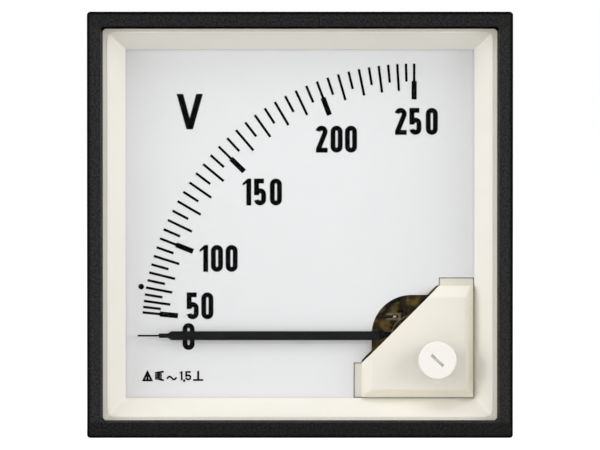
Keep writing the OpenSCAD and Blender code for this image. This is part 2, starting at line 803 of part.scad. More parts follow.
// Slotted button with its shank and eccentric pin
module zero_adjuster() color([0.97, 0.96, 0.94]) {
    head_back = window_front - play;
    head_front = head_back - adjuster_t;
    shank_back = window_back + 2 * play + 2 * clip_t;
    groove = window_back + play;
    edge = adjuster_t / 4;
    r = adjuster_d / 2;
    rs = shank_d / 2;
    difference() {
        turned(adjuster, [
            [0, head_front], [r - edge, head_front], [r, head_front + edge], [r, head_back],
            [rs, head_back], [rs, groove], [rs - clip_groove, groove],
            [rs - clip_groove, groove + clip_t + play], [rs, groove + clip_t + play],
            [rs, shank_back], [0, shank_back]
        ]);
        translate([adjuster[0], head_front, adjuster[1]]) rotate([0, -adjuster_dir, 0])
            cube([slot_len, 2 * slot_deep, slot_w], center = true);
    }
    rod(adjuster + pin_offset * [cos(adjuster_dir), sin(adjuster_dir)],
        shank_back, lever_back + 2 * play, pin_d / 2);
}

// Open ring that keeps the adjuster in the window
module adjuster_clip() color([0.75, 0.75, 0.76])
    slab(window_back + play, window_back + play + clip_t) translate(adjuster) difference() {
        circle(d = clip_d);
        circle(d = shank_d - 2 * clip_groove);
        translate([0, -clip_groove]) square([clip_d, 2 * clip_groove]);
    }

// Lever with a fork for the eccentric pin and an arm for the spring stud
module zero_lever() color([0.8, 0.66, 0.34]) slab(lever_front, lever_back) difference() {
    bore = bush_d / 2 + lever_fit;
    pin_r = adjuster_reach + pin_offset;
    slot = pin_d + 2 * fork_gap;
    union() {
        translate(pivot) circle(bore + lever_ring);
        arm(adjuster_dir, 0, pin_r + pin_d, slot + 2 * prong_w);
        arm(45, 0, stud_r, 2 * prong_w);
        translate(polar(45, stud_r)) circle(prong_w);
    }
    translate(pivot) circle(bore);
    arm(adjuster_dir, pin_r - 2 * pin_offset, pin_r + pin_d + over, slot);
    translate(polar(45, stud_r)) circle(spring_post_d / 2 + set_fit);
}

// Slotted pin that holds the outer end of the hairspring
module spring_stud() color([0.72, 0.6, 0.33]) difference() {
    rod(polar(45, stud_r), lever_front, spring_front() + spring_w, spring_post_d / 2);
    slab(spring_front() - set_fit, spring_front() + spring_w + over) translate(polar(45, stud_r))
        rotate(135) square([2 * over, spring_t + 3 * play], center = true);
}

// Level of the front edge of the hairspring
function spring_front() = collet_front + (collet_h - spring_w) / 2;

// Flat spiral from the collet out to the stud
module hairspring() color([0.66, 0.57, 0.4]) {
    r0 = collet_d / 2 + play;
    steps = round(spring_turns * 36);
    turn = 360 * spring_turns;
    a0 = 45 - turn;
    pitch = (stud_r - r0 - spring_t / 2) / steps;
    slab(spring_front(), spring_front() + spring_w) polygon([
        for (i = [0 : steps]) polar(a0 + turn * i / steps, r0 + pitch * i),
        for (i = [steps : -1 : 0]) polar(a0 + turn * i / steps, r0 + spring_t + pitch * i)
    ]);
}

// Bridge that carries the front bearing, with two stop fingers for the pointer
module bearing_bridge() color([0.74, 0.62, 0.34]) slab(bridge_front, bridge_back) difference() {
    union() {
        translate(pivot) circle(bush_d / 2 + lever_ring);
        for (p = bridge_pillar_places) translate(p) circle(bridge_w / 2);
        for (s = [-1, 1]) {
            arm(s * bridge_spread - 45, 0, bridge_r, bridge_w);
            arm(stop_mid + s * (45 + stop_angle), 0, crank_r, stop_w);
        }
    }
    translate(pivot) circle(bush_d / 2 + set_fit);
    for (p = bridge_pillar_places) translate(p) circle(screw_d / 2 + play);
}

// Pillars from the front plate to the bridge
module bridge_pillars() color([0.78, 0.7, 0.45]) for (p = bridge_pillar_places) difference() {
    rod(p, bridge_back, plate_front, bridge_pillar_d / 2);
    rod(p, bridge_back - over, plate_front + over, screw_d / 2 + play);
}

// Slotted screw whose head rests at y0 and whose shank runs back to y1, or forwards
module slotted_screw(p, y0, y1, d, head_d, head_t) {
    s = sign(y1 - y0);
    face = y0 - s * head_t;
    difference() {
        union() {
            rod(p, min(face, y0), max(face, y0), head_d / 2);
            rod(p, min(y0, y1), max(y0, y1), d / 2);
        }
        translate([p[0], face, p[1]]) cube([head_d + over, head_t, head_t / 2], center = true);
    }
}

// Screws that hold the bridge on its pillars
module bridge_screws() color([0.8, 0.8, 0.8]) for (p = bridge_pillar_places)
    slotted_screw(p, bridge_front, bridge_back + screw_grip, screw_d,
                  screw_head_d, min(screw_head_t, lever_gap));

// Flanged bush in the bridge, on which the zero lever turns
module lever_bush() color([0.83, 0.72, 0.42]) {
    r = bush_d / 2;
    face = lever_front - lever_play - lever_play;
    turned(pivot, [
        [jewel_screw_d / 2 + set_fit, face], [r + lever_ring / 2, face],
        [r + lever_ring / 2, lever_front - lever_play], [r, lever_front - lever_play],
        [r, bridge_back], [jewel_screw_d / 2 + set_fit, bridge_back]
    ]);
}

// Hollow end of a jewel screw: outer end at y0, jewel end at y1
module jewel_screw(y0, y1) {
    s = sign(y1 - y0);
    difference() {
        rod(pivot, min(y0, y1), max(y0, y1), jewel_screw_d / 2);
        rod(pivot, min(y1 - s * jewel_t, y1 + s), max(y1 - s * jewel_t, y1 + s),
            jewel_d / 2 + set_fit);
        translate([pivot[0], y0, pivot[1]])
            cube([jewel_screw_d + over, jewel_t, jewel_t / 2], center = true);
    }
}

// Jewel with a conical cup that opens at y1
module jewel(y1, s) {
    r = jewel_d / 2;
    turned(pivot, [
        [0, y1 - s * jewel_t], [r, y1 - s * jewel_t], [r, y1], [cup_r(), y1],
        [0, y1 - s * cup_deep()]
    ]);
}

// Radius and depth of the cup in a jewel
function cup_r() = spindle_d / 2;
function cup_deep() = jewel_t * 3 / 4;

// Faces of the two jewels
function front_cup() = bridge_back + collet_gap / 2;
function rear_cup() = rear_plate_front - former_t;

module front_jewel_screw() color([0.8, 0.7, 0.42])
    jewel_screw(lever_front - 3 * lever_play - jewel_t / 2, front_cup());
module front_jewel() color([0.75, 0.1, 0.15]) jewel(front_cup(), 1);
module rear_jewel_screw() color([0.8, 0.7, 0.42])
    jewel_screw(rear_plate_back + nut_h * 2 / 3, rear_cup());
module rear_jewel() color([0.75, 0.1, 0.15]) jewel(rear_cup(), -1);

// Nut that locks the rear jewel screw
module rear_locknut() color([0.8, 0.78, 0.6])
    slab(rear_plate_back, rear_plate_back + nut_h / 2) translate(pivot) difference() {
        hexagon(2 * jewel_screw_d);
        circle(jewel_screw_d / 2 + set_fit);
    }

// Turned spindle with a fine conical pivot at each end
module spindle() color([0.7, 0.7, 0.72]) {
    r = spindle_d / 2;
    tip = r / 12;
    reach = cup_deep() * 3 / 4;
    turned(pivot, [
        [0, front_cup() - reach], [tip, front_cup() - reach], [r, front_cup() + reach],
        [r, rear_cup() - reach], [tip, rear_cup() + reach], [0, rear_cup() + reach]
    ]);
}

// Split collet that holds the inner end of the hairspring
module spring_collet() color([0.83, 0.7, 0.38]) slab(collet_front, hub_front) difference() {
    translate(pivot) circle(d = collet_d);
    translate(pivot) circle(d = spindle_d + 2 * set_fit);
    arm(225, 0, collet_d, spring_t);
}

// Sheet pointer: needle, neck and folded bar in front of the dial, then a crank to the hub
module pointer() color([0.13, 0.135, 0.125]) {
    sheet = 2 * pointer_t;
    neck_end = pointer_len - needle_len;
    taper_end = neck_end - neck_len;
    bar_end = taper_end - taper_len;
    foot = crank_r - crank_run;
    axis = pivot + [0, pointer_rise];
    slab(pointer_front, pointer_front + pointer_t) translate(axis) rotate(180) polygon([
        [crank_r - sheet, -bar_w / 2], [bar_end, -bar_w / 2], [taper_end, -neck_w / 2],
        [neck_end, -neck_w / 2], [neck_end, -needle_w / 2], [pointer_len, -needle_w / 2],
        [pointer_len, needle_w / 2], [neck_end, needle_w / 2], [neck_end, neck_w / 2],
        [taper_end, neck_w / 2], [bar_end, bar_w / 2], [crank_r - sheet, bar_w / 2]
    ]);
    slab(pointer_front, pointer_front + bar_fold) for (s = [-1, 1])
        translate([0, pointer_rise + s * (bar_w - pointer_t) / 2])
        arm(180, crank_r, bar_end, pointer_t);
    translate([axis[0], 0, axis[1] - bar_w / 2]) linear_extrude(bar_w) polygon([
        [-crank_r, pointer_front], [sheet - crank_r, pointer_front],
        [sheet - foot, hub_back], [-foot, hub_back]
    ]);
    slab(hub_front, hub_back) difference() {
        union() {
            translate([0, pointer_rise]) arm(180, 0, foot - pointer_t, hub_arm_w);
            translate(pivot) circle(d = hub_d + bar_w);
        }
        translate(pivot) circle(d = hub_d + 2 * set_fit);
    }
}

// Level of the balance arms
function rod_y() = hub_back + weight_d / 4;

// Bush that joins the pointer and the balance arms to the spindle
module pointer_hub() color([0.7, 0.7, 0.7]) slab(hub_front, rod_y() + balance_rod_d)
    translate(pivot) difference() {
        circle(d = hub_d);
        circle(d = spindle_d + 2 * set_fit);
    }

// Three arms that carry the balance weights
module balance_arms() color([0.72, 0.72, 0.7]) for (a = balance_spread * [-1, 0, 1])
    balance_place(a) cylinder(h = balance_r - hub_d / 2, d = balance_rod_d);

// Frame at the root of the balance arm at angle a, with Z along the arm
module balance_place(a) {
    translate([pivot[0], rod_y(), pivot[1]]) rotate([0, 90 - a, 0]) translate([0, 0, hub_d / 2])
        children();
}

// Small turned weights on the ends of the balance arms
module balance_weights() color([0.8, 0.68, 0.36]) for (a = balance_spread * [-1, 0, 1]) balance_place(a)
    let (len = a == 0 ? tail_len : weight_len)
    translate([0, 0, balance_r - hub_d / 2 - len]) difference() {
        cylinder(h = len, d = weight_d);
        translate([0, 0, -over]) cylinder(h = len + 2 * over, d = balance_rod_d + 2 * set_fit);
    }

// Level of the plate that carries the moving iron
function holder_front() = plate_back + former_t;

// Fan-shaped plate with a hub, which carries the moving iron
module iron_holder() color([0.75, 0.75, 0.76]) {
    back = holder_front() + iron_t;
    inner = spindle_d / 2 + set_fit;
    sector(spindle_d, iron_r + iron_t, holder_front(), back, iron_dir - iron_span / 2,
           iron_dir + iron_span / 2);
    slab(holder_front(), back + spindle_d) translate(pivot) difference() {
        circle(spindle_d + set_fit);
        circle(inner);
    }
}

// Curved iron sheet that narrows from the angle a0 to the angle a1
module curved_iron(r, y0, len, a0, a1, narrow) {
    difference() {
        sector(r, r + iron_t, y0, y0 + len, a0, a1);
        translate([pivot[0], y0 + len, pivot[1]]) rotate([0, -a1, 0])
            linear_extrude(4 * r, center = true)
            polygon([[r / 2, over], [2 * r, over], [2 * r, -len * (1 - narrow)]]);
    }
}

module moving_iron() color([0.45, 0.45, 0.47])
    curved_iron(iron_r, holder_front() + iron_t, iron_len, iron_dir - iron_span / 2,
                iron_dir + iron_span / 2, 0.6);

module fixed_iron() color([0.42, 0.42, 0.44])
    curved_iron(coil_bore / 2 - play - iron_t, holder_front() + iron_t, iron_len,
                iron_dir - iron_span / 2, iron_dir + 2 * iron_span, 0.4);

// Moulded coil former
module bobbin() color([0.12, 0.12, 0.13]) {
    tube = coil_bore / 2 + former_t;
    turned(pivot, [
        [coil_bore / 2, plate_back], [flange_d / 2, plate_back],
        [flange_d / 2, plate_back + former_t], [tube, plate_back + former_t],
        [tube, rear_plate_front - former_t], [flange_d / 2, rear_plate_front - former_t],
        [flange_d / 2, rear_plate_front], [coil_bore / 2, rear_plate_front]
    ]);
}

// Copper winding between the flanges of the former
module coil_winding() color([0.62, 0.3, 0.14]) {
    inner = coil_bore / 2 + former_t + set_fit;
    front = plate_back + former_t + play;
    back = rear_plate_front - former_t - play;
    turned(pivot, [[inner, front], [winding_d / 2, front], [winding_d / 2, back], [inner, back]]);
}

// Disc that turns in the fluid of the damping cup
module damping_disc() color([0.78, 0.78, 0.8]) {
    front = rear_plate_front - cup_d + over;
    slab(front, front + iron_t) translate(pivot) difference() {
        circle(d = disc_d);
        circle(d = spindle_d + 2 * set_fit);
    }
}

// Cup of the damper, open to the front
module damping_cup() color([0.85, 0.85, 0.82]) {
    outer = disc_d / 2 + disc_gap + cup_wall;
    hole = jewel_screw_d / 2 + set_fit;
    turned(pivot, [
        [hole, rear_plate_front], [outer, rear_plate_front], [outer, rear_plate_front - cup_d],
        [outer - cup_wall, rear_plate_front - cup_d],
        [outer - cup_wall, rear_plate_front - cup_wall], [hole, rear_plate_front - cup_wall]
    ]);
}

// Front plate of the movement, with the notch and holes seen past the pointer
module front_plate() color([0.62, 0.52, 0.28]) slab(plate_front, plate_back) difference() {
    side = plate_reach + plate_edge;
    translate(pivot - [plate_reach, plate_edge]) square(side);
    translate(pivot) circle(d = plate_hole_d);
    translate(pivot + window_place) rotate(plate_window_tilt)
        translate([-plate_window[0], 0]) square(plate_window);
    translate(pivot + notch_place) circle(d = notch_w);
    translate(pivot + notch_place - [notch_w / 2, notch_w]) square([notch_w, notch_w]);
    for (p = plate_pillar_places) translate(p) circle(screw_d / 2 + play);
    for (p = boss_places) translate(p) circle(frame_screw_d / 2 + play);
}

module rear_plate() color([0.62, 0.52, 0.28]) slab(rear_plate_front, rear_plate_back)
    difference() {
        translate(pivot) square(2 * rear_plate_half, center = true);
        translate(pivot) circle(jewel_screw_d / 2 + set_fit);
        translate(boss_places[0]) circle(boss_d / 2 + plate_rim);
        for (p = plate_pillar_places) translate(p) circle(screw_d / 2 + play);
    }

// Pillars between the two plates
module plate_pillars() color([0.78, 0.7, 0.45]) for (p = plate_pillar_places) difference() {
    rod(p, plate_back, rear_plate_front, pillar_d / 2);
    rod(p, plate_back - over, rear_plate_front + over, screw_d / 2 + play);
}

module plate_screws() color([0.8, 0.8, 0.8]) for (p = plate_pillar_places) {
    slotted_screw(p, plate_front, plate_back + screw_grip, screw_d, screw_head_d, screw_head_t);
    slotted_screw(p, rear_plate_back, rear_plate_front - screw_grip, screw_d, screw_head_d,
                  screw_head_t);
}

module frame_screws() color([0.8, 0.8, 0.8]) for (p = boss_places)
    slotted_screw(p, plate_front, plate_back + frame_screw_len, frame_screw_d, frame_head_d,
                  screw_head_t);

// Bent tags on the front plate, to which the ends of the coil and the leads are soldered
module coil_tags() color([0.78, 0.74, 0.6]) for (p = tag_places) {
    slab(plate_front - tag_thick, plate_front) translate(p)
        square([tag_w * 2, tag_w], center = true);
    slab(plate_front - tag_w, plate_front) translate(p + [tag_w, 0])
        square([tag_thick, tag_w], center = true);
}

// Drops of solder on the tags
module solder_joints() color([0.86, 0.86, 0.88]) for (p = tag_places) difference() {
    translate([p[0] + tag_w / 3, plate_front - tag_thick, p[1]]) sphere(r = tag_w * 0.4);
    slab(plate_front - tag_thick, plate_front + tag_w) translate(p)
        square(4 * tag_w, center = true);
    bar(lead_path(p)[3], lead_path(p)[4] + [lead_d, 0, 0], lead_d / 2 + set_fit);
}

// Insulated leads from the tags round the edge of the front plate to the terminals
module lead_wires() color([0.55, 0.16, 0.1]) for (p = tag_places)
    wire(rounded_route(lead_path(p), 2 * lead_d), lead_d / 2);

// Route of the lead that ends on the tag at p
function lead_path(p) =
    let (upper = p[1] > pivot[1] + plate_reach / 2,
         level = plate_front - tag_thick - lead_d / 2 - play,
         x = pivot[0] - plate_reach - 2 * lead_d,
         start = upper ? [resistor_x() + resistor_len / 2 + lead_run, resistor_y(), resistor_z()]
                       : [strip_edge(1) - lead_d / 2, resistor_y(), stud_z + strip_w])
    [start, start - [upper ? 0 : lead_run, 0, 2 * lead_run], [x, plate_back + lead_run, p[1]],
     [x, level, p[1]], [p[0], level, p[1]]];

// Wound resistor with its axial wires, in the free half of the housing
module series_resistor() color([0.35, 0.5, 0.45]) {
    x0 = resistor_x() - resistor_len / 2;
    x1 = resistor_x() + resistor_len / 2;
    end = x1 + lead_run - play;
    edge = resistor_d / 8;
    translate([0, resistor_y(), resistor_z()]) rotate([0, 90, 0]) rotate_extrude() polygon([
        [0, strip_edge(-1) - lead_d], [lead_d / 2, strip_edge(-1) - lead_d], [lead_d / 2, x0],
        [resistor_d / 2 - edge, x0], [resistor_d / 2, x0 + edge], [resistor_d / 2, x1 - edge],
        [resistor_d / 2 - edge, x1], [lead_d / 2, x1], [lead_d / 2, end - lead_d / 2],
        [0, end - lead_d / 2]
    ]);
}

// Place of the resistor, and the inner edge of the contact strip on the side s
function resistor_x() = -stud_pitch / 2 + strip_w / 2 + resistor_len / 2 + lead_run;
function resistor_y() = rear_in - resistor_d - strip_t;
function resistor_z() = stud_z + strip_w / 2 + resistor_len;
function strip_edge(s) = s * (stud_pitch / 2 - strip_w / 2);

// Strip under the head of a stud, up to the height z, with a side tab for a wire
module contact_strip(s, z) color([0.8, 0.68, 0.38]) {
    slab(rear_in - strip_t, rear_in) difference() {
        translate([s * stud_pitch / 2 - strip_w / 2, stud_z - strip_w / 2])
            square([strip_w, z - stud_z + strip_w]);
        translate([s * stud_pitch / 2, stud_z]) circle(stud_d / 2 + play);
    }
    difference() {
        slab(resistor_y() - strip_w / 3, rear_in)
            translate([strip_edge(s) - (s > 0 ? 0 : strip_t), z - strip_w / 2])
            square([strip_t, strip_w]);
        translate([strip_edge(s) - strip_t - over, resistor_y(), z]) rotate([0, 90, 0])
            cylinder(h = 2 * strip_t + 2 * over, d = lead_d + 2 * play);
    }
}

module contact_strip_left() contact_strip(-1, resistor_z());
module contact_strip_right() contact_strip(1, stud_z + strip_w);

// Threaded stud with a hexagonal head inside the housing
module terminal_stud(p) color([0.78, 0.7, 0.45]) {
    slab(rear_in - strip_t - nut_h * 2 / 3, rear_in - strip_t) translate(p) hexagon(nut_af);
    rod(p, rear_in - strip_t, pad_back + stud_len, stud_d / 2);
}

module terminal_stud_left() terminal_stud(terminal_places[0]);
module terminal_stud_right() terminal_stud(terminal_places[1]);

// Two nuts on each stud
module terminal_nuts() color([0.8, 0.72, 0.45]) for (p = terminal_places)
    for (y = [washer_back, clamp_back]) slab(y, y + nut_h) translate(p) difference() {
        hexagon(nut_af);
        circle(stud_d / 2 + stud_fit);
    }

module terminal_washers() color([0.82, 0.82, 0.8]) for (p = terminal_places)
    slab(pad_back, washer_back) translate(p) difference() {
        circle(d = washer_d);
        circle(stud_d / 2 + stud_fit);
    }

// Square wire clamps with two turned-in edges
module terminal_clamps() color([0.82, 0.82, 0.8]) for (p = terminal_places) {
    slab(lock_nut_back, clamp_back) translate(p) difference() {
        rounded(clamp_w, clamp_w, clamp_t);
        circle(stud_d / 2 + stud_fit);
    }
    slab(lock_nut_back - clamp_t / 2, lock_nut_back) translate(p) for (s = [-1, 1])
        translate([0, s * (clamp_w - clamp_t / 2) / 2])
        square([clamp_w - 2 * clamp_t, clamp_t / 2], center = true);
}

// Box of the meter: collar, body and rear wall in one moulding
module housing() color([0.11, 0.115, 0.12]) {
    difference() {
        union() {
            slab(housing_front, collar_d) rounded(collar_w, collar_w, collar_corner_r);
            slab(collar_floor, body_d) rounded(2 * body_half, 2 * body_half, collar_corner_r);
            slab(rear_in, pad_back) translate([0, stud_z])
                rounded(stud_pitch + pad_w + pad_h, pad_w, collar_corner_r);
            slab(body_d, pad_back + barrier_h) translate([0, stud_z])
                square([barrier_t, pad_w], center = true);
        }
        slab(housing_front - over, collar_floor)
            rounded(2 * collar_in, 2 * collar_in, collar_corner_r);
        slab(collar_floor - over, rear_in) rounded(2 * body_in, 2 * body_in, collar_corner_r);
        for (a = [0 : 90 : 270]) rotate([0, a, 0]) tongue_pocket();
        for (p = terminal_places) rod(p, rear_in - over, pad_back + over, stud_d / 2 + play);
    }
    for (a = [0 : 90 : 270]) rotate([0, a, 0]) ledge();
    for (s = [0, 180]) rotate([0, s, 0]) dial_key();
    for (p = boss_places) boss(p);
    for (a = [0, 180], z = [-1, 1], s = [-1, 1])
        rotate([0, a, 0]) translate([0, 0, z * rail_offset]) clamp_rail(s);
}

// Recess for a snap tongue in the right wall of the collar, with the window for its hook
module tongue_pocket() {
    floor_x = collar_half - tongue_t - bezel_fit;
    width = tongue_w + 2 * bezel_fit;
    window_y = tongue_len - 3 * tongue_hook - bezel_fit;
    translate([floor_x, housing_front - over, -width / 2])
        cube([collar_half - floor_x + over, tongue_len + bezel_fit - housing_front + over, width]);
    translate([collar_in, window_y, -width / 2])
        cube([collar_half - collar_in, tongue_len + bezel_fit - window_y, width]);
}

// Ribs on the right wall that carry the dial
module ledge() {
    pitch = 2 * collar_in / (ledge_ribs + 1);
    inner = collar_in - ledge_w;
    for (i = [1 : ledge_ribs])
        translate([0, 0, i * pitch - collar_in - ledge_rib_t / 2]) linear_extrude(ledge_rib_t)
            polygon([
                [inner, dial_back], [collar_in + root, dial_back],
                [collar_in + root, collar_floor + root], [body_in + root, collar_floor + root],
                [body_in + root, collar_d + ledge_w], [body_in, collar_d + ledge_w],
                [inner, collar_floor]
            ]);
}

// Key in the middle of the right wall that centres the dial
module dial_key() {
    inner = dial_half - ledge_bite() + key_gap;
    translate([inner, dial_front - key_gap, -key_w / 2])
        cube([collar_in + root - inner, dial_t + ledge_w, key_w]);
}

// Boss for a screw of the movement, with two ribs towards the corner walls
module boss(p) {
    difference() {
        union() {
            rod(p, plate_back, rear_in + root, boss_d / 2);
            if (p[0] == boss_far) slab(plate_back + boss_d / 2, rear_in + root)
                translate(p - [0, ledge_rib_t / 2]) square([body_in + root - p[0], ledge_rib_t]);
            if (p[1] == -boss_far) slab(plate_back + boss_d / 2, rear_in + root)
                translate([p[0] - ledge_rib_t / 2, -body_in - root])
                square([ledge_rib_t, p[1] + body_in + root]);
        }
        rod(p, plate_back - over, plate_back + frame_screw_len + over, frame_screw_d / 2 + play);
    }
}

// Rail of a clamp holder on the right wall, on the side s of its slot
module clamp_rail(s) {
    lip = body_step / 2 - play;
    inner = s * rail_pitch / 2;
    translate([0, collar_d + rail_len, 0]) rotate([90, 0, 0]) linear_extrude(rail_len + root)
        polygon([
            [body_half - root, inner], [body_half - root, inner + s * rail_t],
            [body_half + body_step, inner + s * rail_t],
            [body_half + body_step, inner - s * rail_lip],
            [body_half + body_step - lip, inner - s * rail_lip],
            [body_half + body_step - lip, inner]
        ]);
}

bezel();
window();
mask_frame();
dial_plate();
scale_marks();
corner_cover();
housing();
zero_adjuster();
adjuster_clip();
zero_lever();
spring_stud();
hairspring();
bearing_bridge();
bridge_pillars();
bridge_screws();
lever_bush();
front_jewel_screw();
front_jewel();
rear_jewel_screw();
rear_jewel();
rear_locknut();
spindle();
spring_collet();
pointer();
pointer_hub();
balance_arms();
balance_weights();
iron_holder();
moving_iron();
fixed_iron();
bobbin();
coil_winding();
damping_disc();
damping_cup();
front_plate();
rear_plate();
plate_pillars();
plate_screws();
frame_screws();
coil_tags();
solder_joints();
lead_wires();
series_resistor();
contact_strip_left();
contact_strip_right();
terminal_stud_left();
terminal_stud_right();
terminal_nuts();
terminal_washers();
terminal_clamps();
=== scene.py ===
# Visual model of a square panel voltmeter, built round its CAD frame.
import json
import math

import bmesh
import bpy
from mathutils import Matrix, Vector


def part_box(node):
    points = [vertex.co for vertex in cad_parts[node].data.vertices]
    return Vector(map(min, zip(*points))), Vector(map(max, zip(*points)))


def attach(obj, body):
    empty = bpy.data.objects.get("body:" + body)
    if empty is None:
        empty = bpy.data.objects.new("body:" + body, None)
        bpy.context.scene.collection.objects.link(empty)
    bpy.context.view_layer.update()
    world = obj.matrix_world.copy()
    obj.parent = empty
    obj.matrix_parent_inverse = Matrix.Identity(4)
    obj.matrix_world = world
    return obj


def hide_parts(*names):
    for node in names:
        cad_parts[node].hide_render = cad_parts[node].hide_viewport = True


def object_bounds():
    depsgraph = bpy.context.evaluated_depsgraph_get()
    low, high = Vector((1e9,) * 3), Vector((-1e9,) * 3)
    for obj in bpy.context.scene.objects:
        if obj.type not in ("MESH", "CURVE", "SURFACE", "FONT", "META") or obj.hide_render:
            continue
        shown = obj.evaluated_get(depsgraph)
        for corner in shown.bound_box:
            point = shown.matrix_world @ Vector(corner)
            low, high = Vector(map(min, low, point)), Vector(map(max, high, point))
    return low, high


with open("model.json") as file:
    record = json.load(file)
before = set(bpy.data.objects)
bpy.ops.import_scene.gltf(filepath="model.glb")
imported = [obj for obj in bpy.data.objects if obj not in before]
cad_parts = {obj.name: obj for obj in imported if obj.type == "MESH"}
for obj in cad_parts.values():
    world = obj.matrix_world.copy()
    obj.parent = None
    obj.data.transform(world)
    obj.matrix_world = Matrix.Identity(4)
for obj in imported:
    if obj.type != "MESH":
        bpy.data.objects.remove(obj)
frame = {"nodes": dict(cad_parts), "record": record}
cadLow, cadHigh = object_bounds()
mm = 0.001
weld = 1e-6  # vertices nearer than this are one
onLevel = 2e-6  # how far a vertex may be from a level and still lie on it
flatAngle = math.radians(0.5)  # CAD faces that turn less than this are one


def report(stage):
    print("stage:", stage)


def addNode(tree, kind, **values):
    node = tree.nodes.new(kind)
    for key, value in values.items():
        if hasattr(node, key):
            setattr(node, key, value)
        else:
            node.inputs[key.replace("_", " ")].default_value = value
    return node


# every pattern lies on Object coordinates, in metres
def objectPlace(tree):
    return addNode(tree, "ShaderNodeTexCoord").outputs["Object"]


pattern = {
    "noiseRoughness": 0.55,
    "toneDetail": 4.0,
    "fineDetail": 2.0,
    "glossShare": 0.4,  # patches of gloss against patches of tone
    "coatRoughness": 0.12,
}


# noise whose patches are about size metres across
def noiseField(tree, source, size, detail=pattern["fineDetail"]):
    noise = addNode(
        tree, "ShaderNodeTexNoise", Scale=1.0 / size, Detail=detail,
        Roughness=pattern["noiseRoughness"],
    )
    tree.links.new(source, noise.inputs["Vector"])
    return noise.outputs["Fac"]


def spread(tree, field, low, high, fromLow=0.3, fromHigh=0.7):
    ranger = addNode(tree, "ShaderNodeMapRange")
    ends = {"From Min": fromLow, "From Max": fromHigh, "To Min": low, "To Max": high}
    for socket, value in ends.items():
        ranger.inputs[socket].default_value = value
    tree.links.new(field, ranger.inputs["Value"])
    return ranger.outputs["Result"]


def compute(tree, operation, first, second=None):
    step = addNode(tree, "ShaderNodeMath", operation=operation)
    for socket, value in zip(step.inputs, (first, second)):
        if isinstance(value, float):
            socket.default_value = value
        elif value:
            tree.links.new(value, socket)
    return step.outputs["Value"]


def blendTones(tree, factor, toneA, toneB):
    mixer = addNode(tree, "ShaderNodeMix", data_type="RGBA")
    colours = [socket for socket in mixer.inputs if socket.type == "RGBA"]
    for socket, tone in zip(colours, (toneA, toneB)):
        if isinstance(tone, tuple):
            socket.default_value = (*tone, 1.0)
        else:
            tree.links.new(tone, socket)
    tree.links.new(factor, mixer.inputs["Factor"])
    return next(socket for socket in mixer.outputs if socket.type == "RGBA")


def addRelief(tree, height, depth):
    bump = addNode(tree, "ShaderNodeBump", Strength=1.0, Distance=depth)
    tree.links.new(height, bump.inputs["Height"])
    tree.links.new(bump.outputs["Normal"], tree.nodes["Principled BSDF"].inputs["Normal"])


# a surface whose two tones drift into each other, with uneven gloss and a fine relief
def finish(
    name, tone, worn, patch=6 * mm, edge=(0.3, 0.7), rough=0.5, swing=0.06,
    metallic=0.0, specular=0.5, coat=0.0, grain=0.25 * mm, depth=0.004 * mm,
):
    material = bpy.data.materials.new(name)
    material.use_nodes = True
    tree = material.node_tree
    shader = tree.nodes["Principled BSDF"]
    shader.inputs["Metallic"].default_value = metallic
    shader.inputs["Specular IOR Level"].default_value = specular
    shader.inputs["Coat Weight"].default_value = coat
    shader.inputs["Coat Roughness"].default_value = pattern["coatRoughness"]
    place = objectPlace(tree)
    patches = noiseField(tree, place, patch, pattern["toneDetail"])
    drift = spread(tree, patches, 0.0, 1.0, *edge)
    tree.links.new(blendTones(tree, drift, tone, worn), shader.inputs["Base Color"])
    sheen = noiseField(tree, place, patch * pattern["glossShare"])
    gloss = spread(tree, sheen, rough - swing, rough + swing)
    tree.links.new(gloss, shader.inputs["Roughness"])
    addRelief(tree, noiseField(tree, place, grain), depth)
    return material


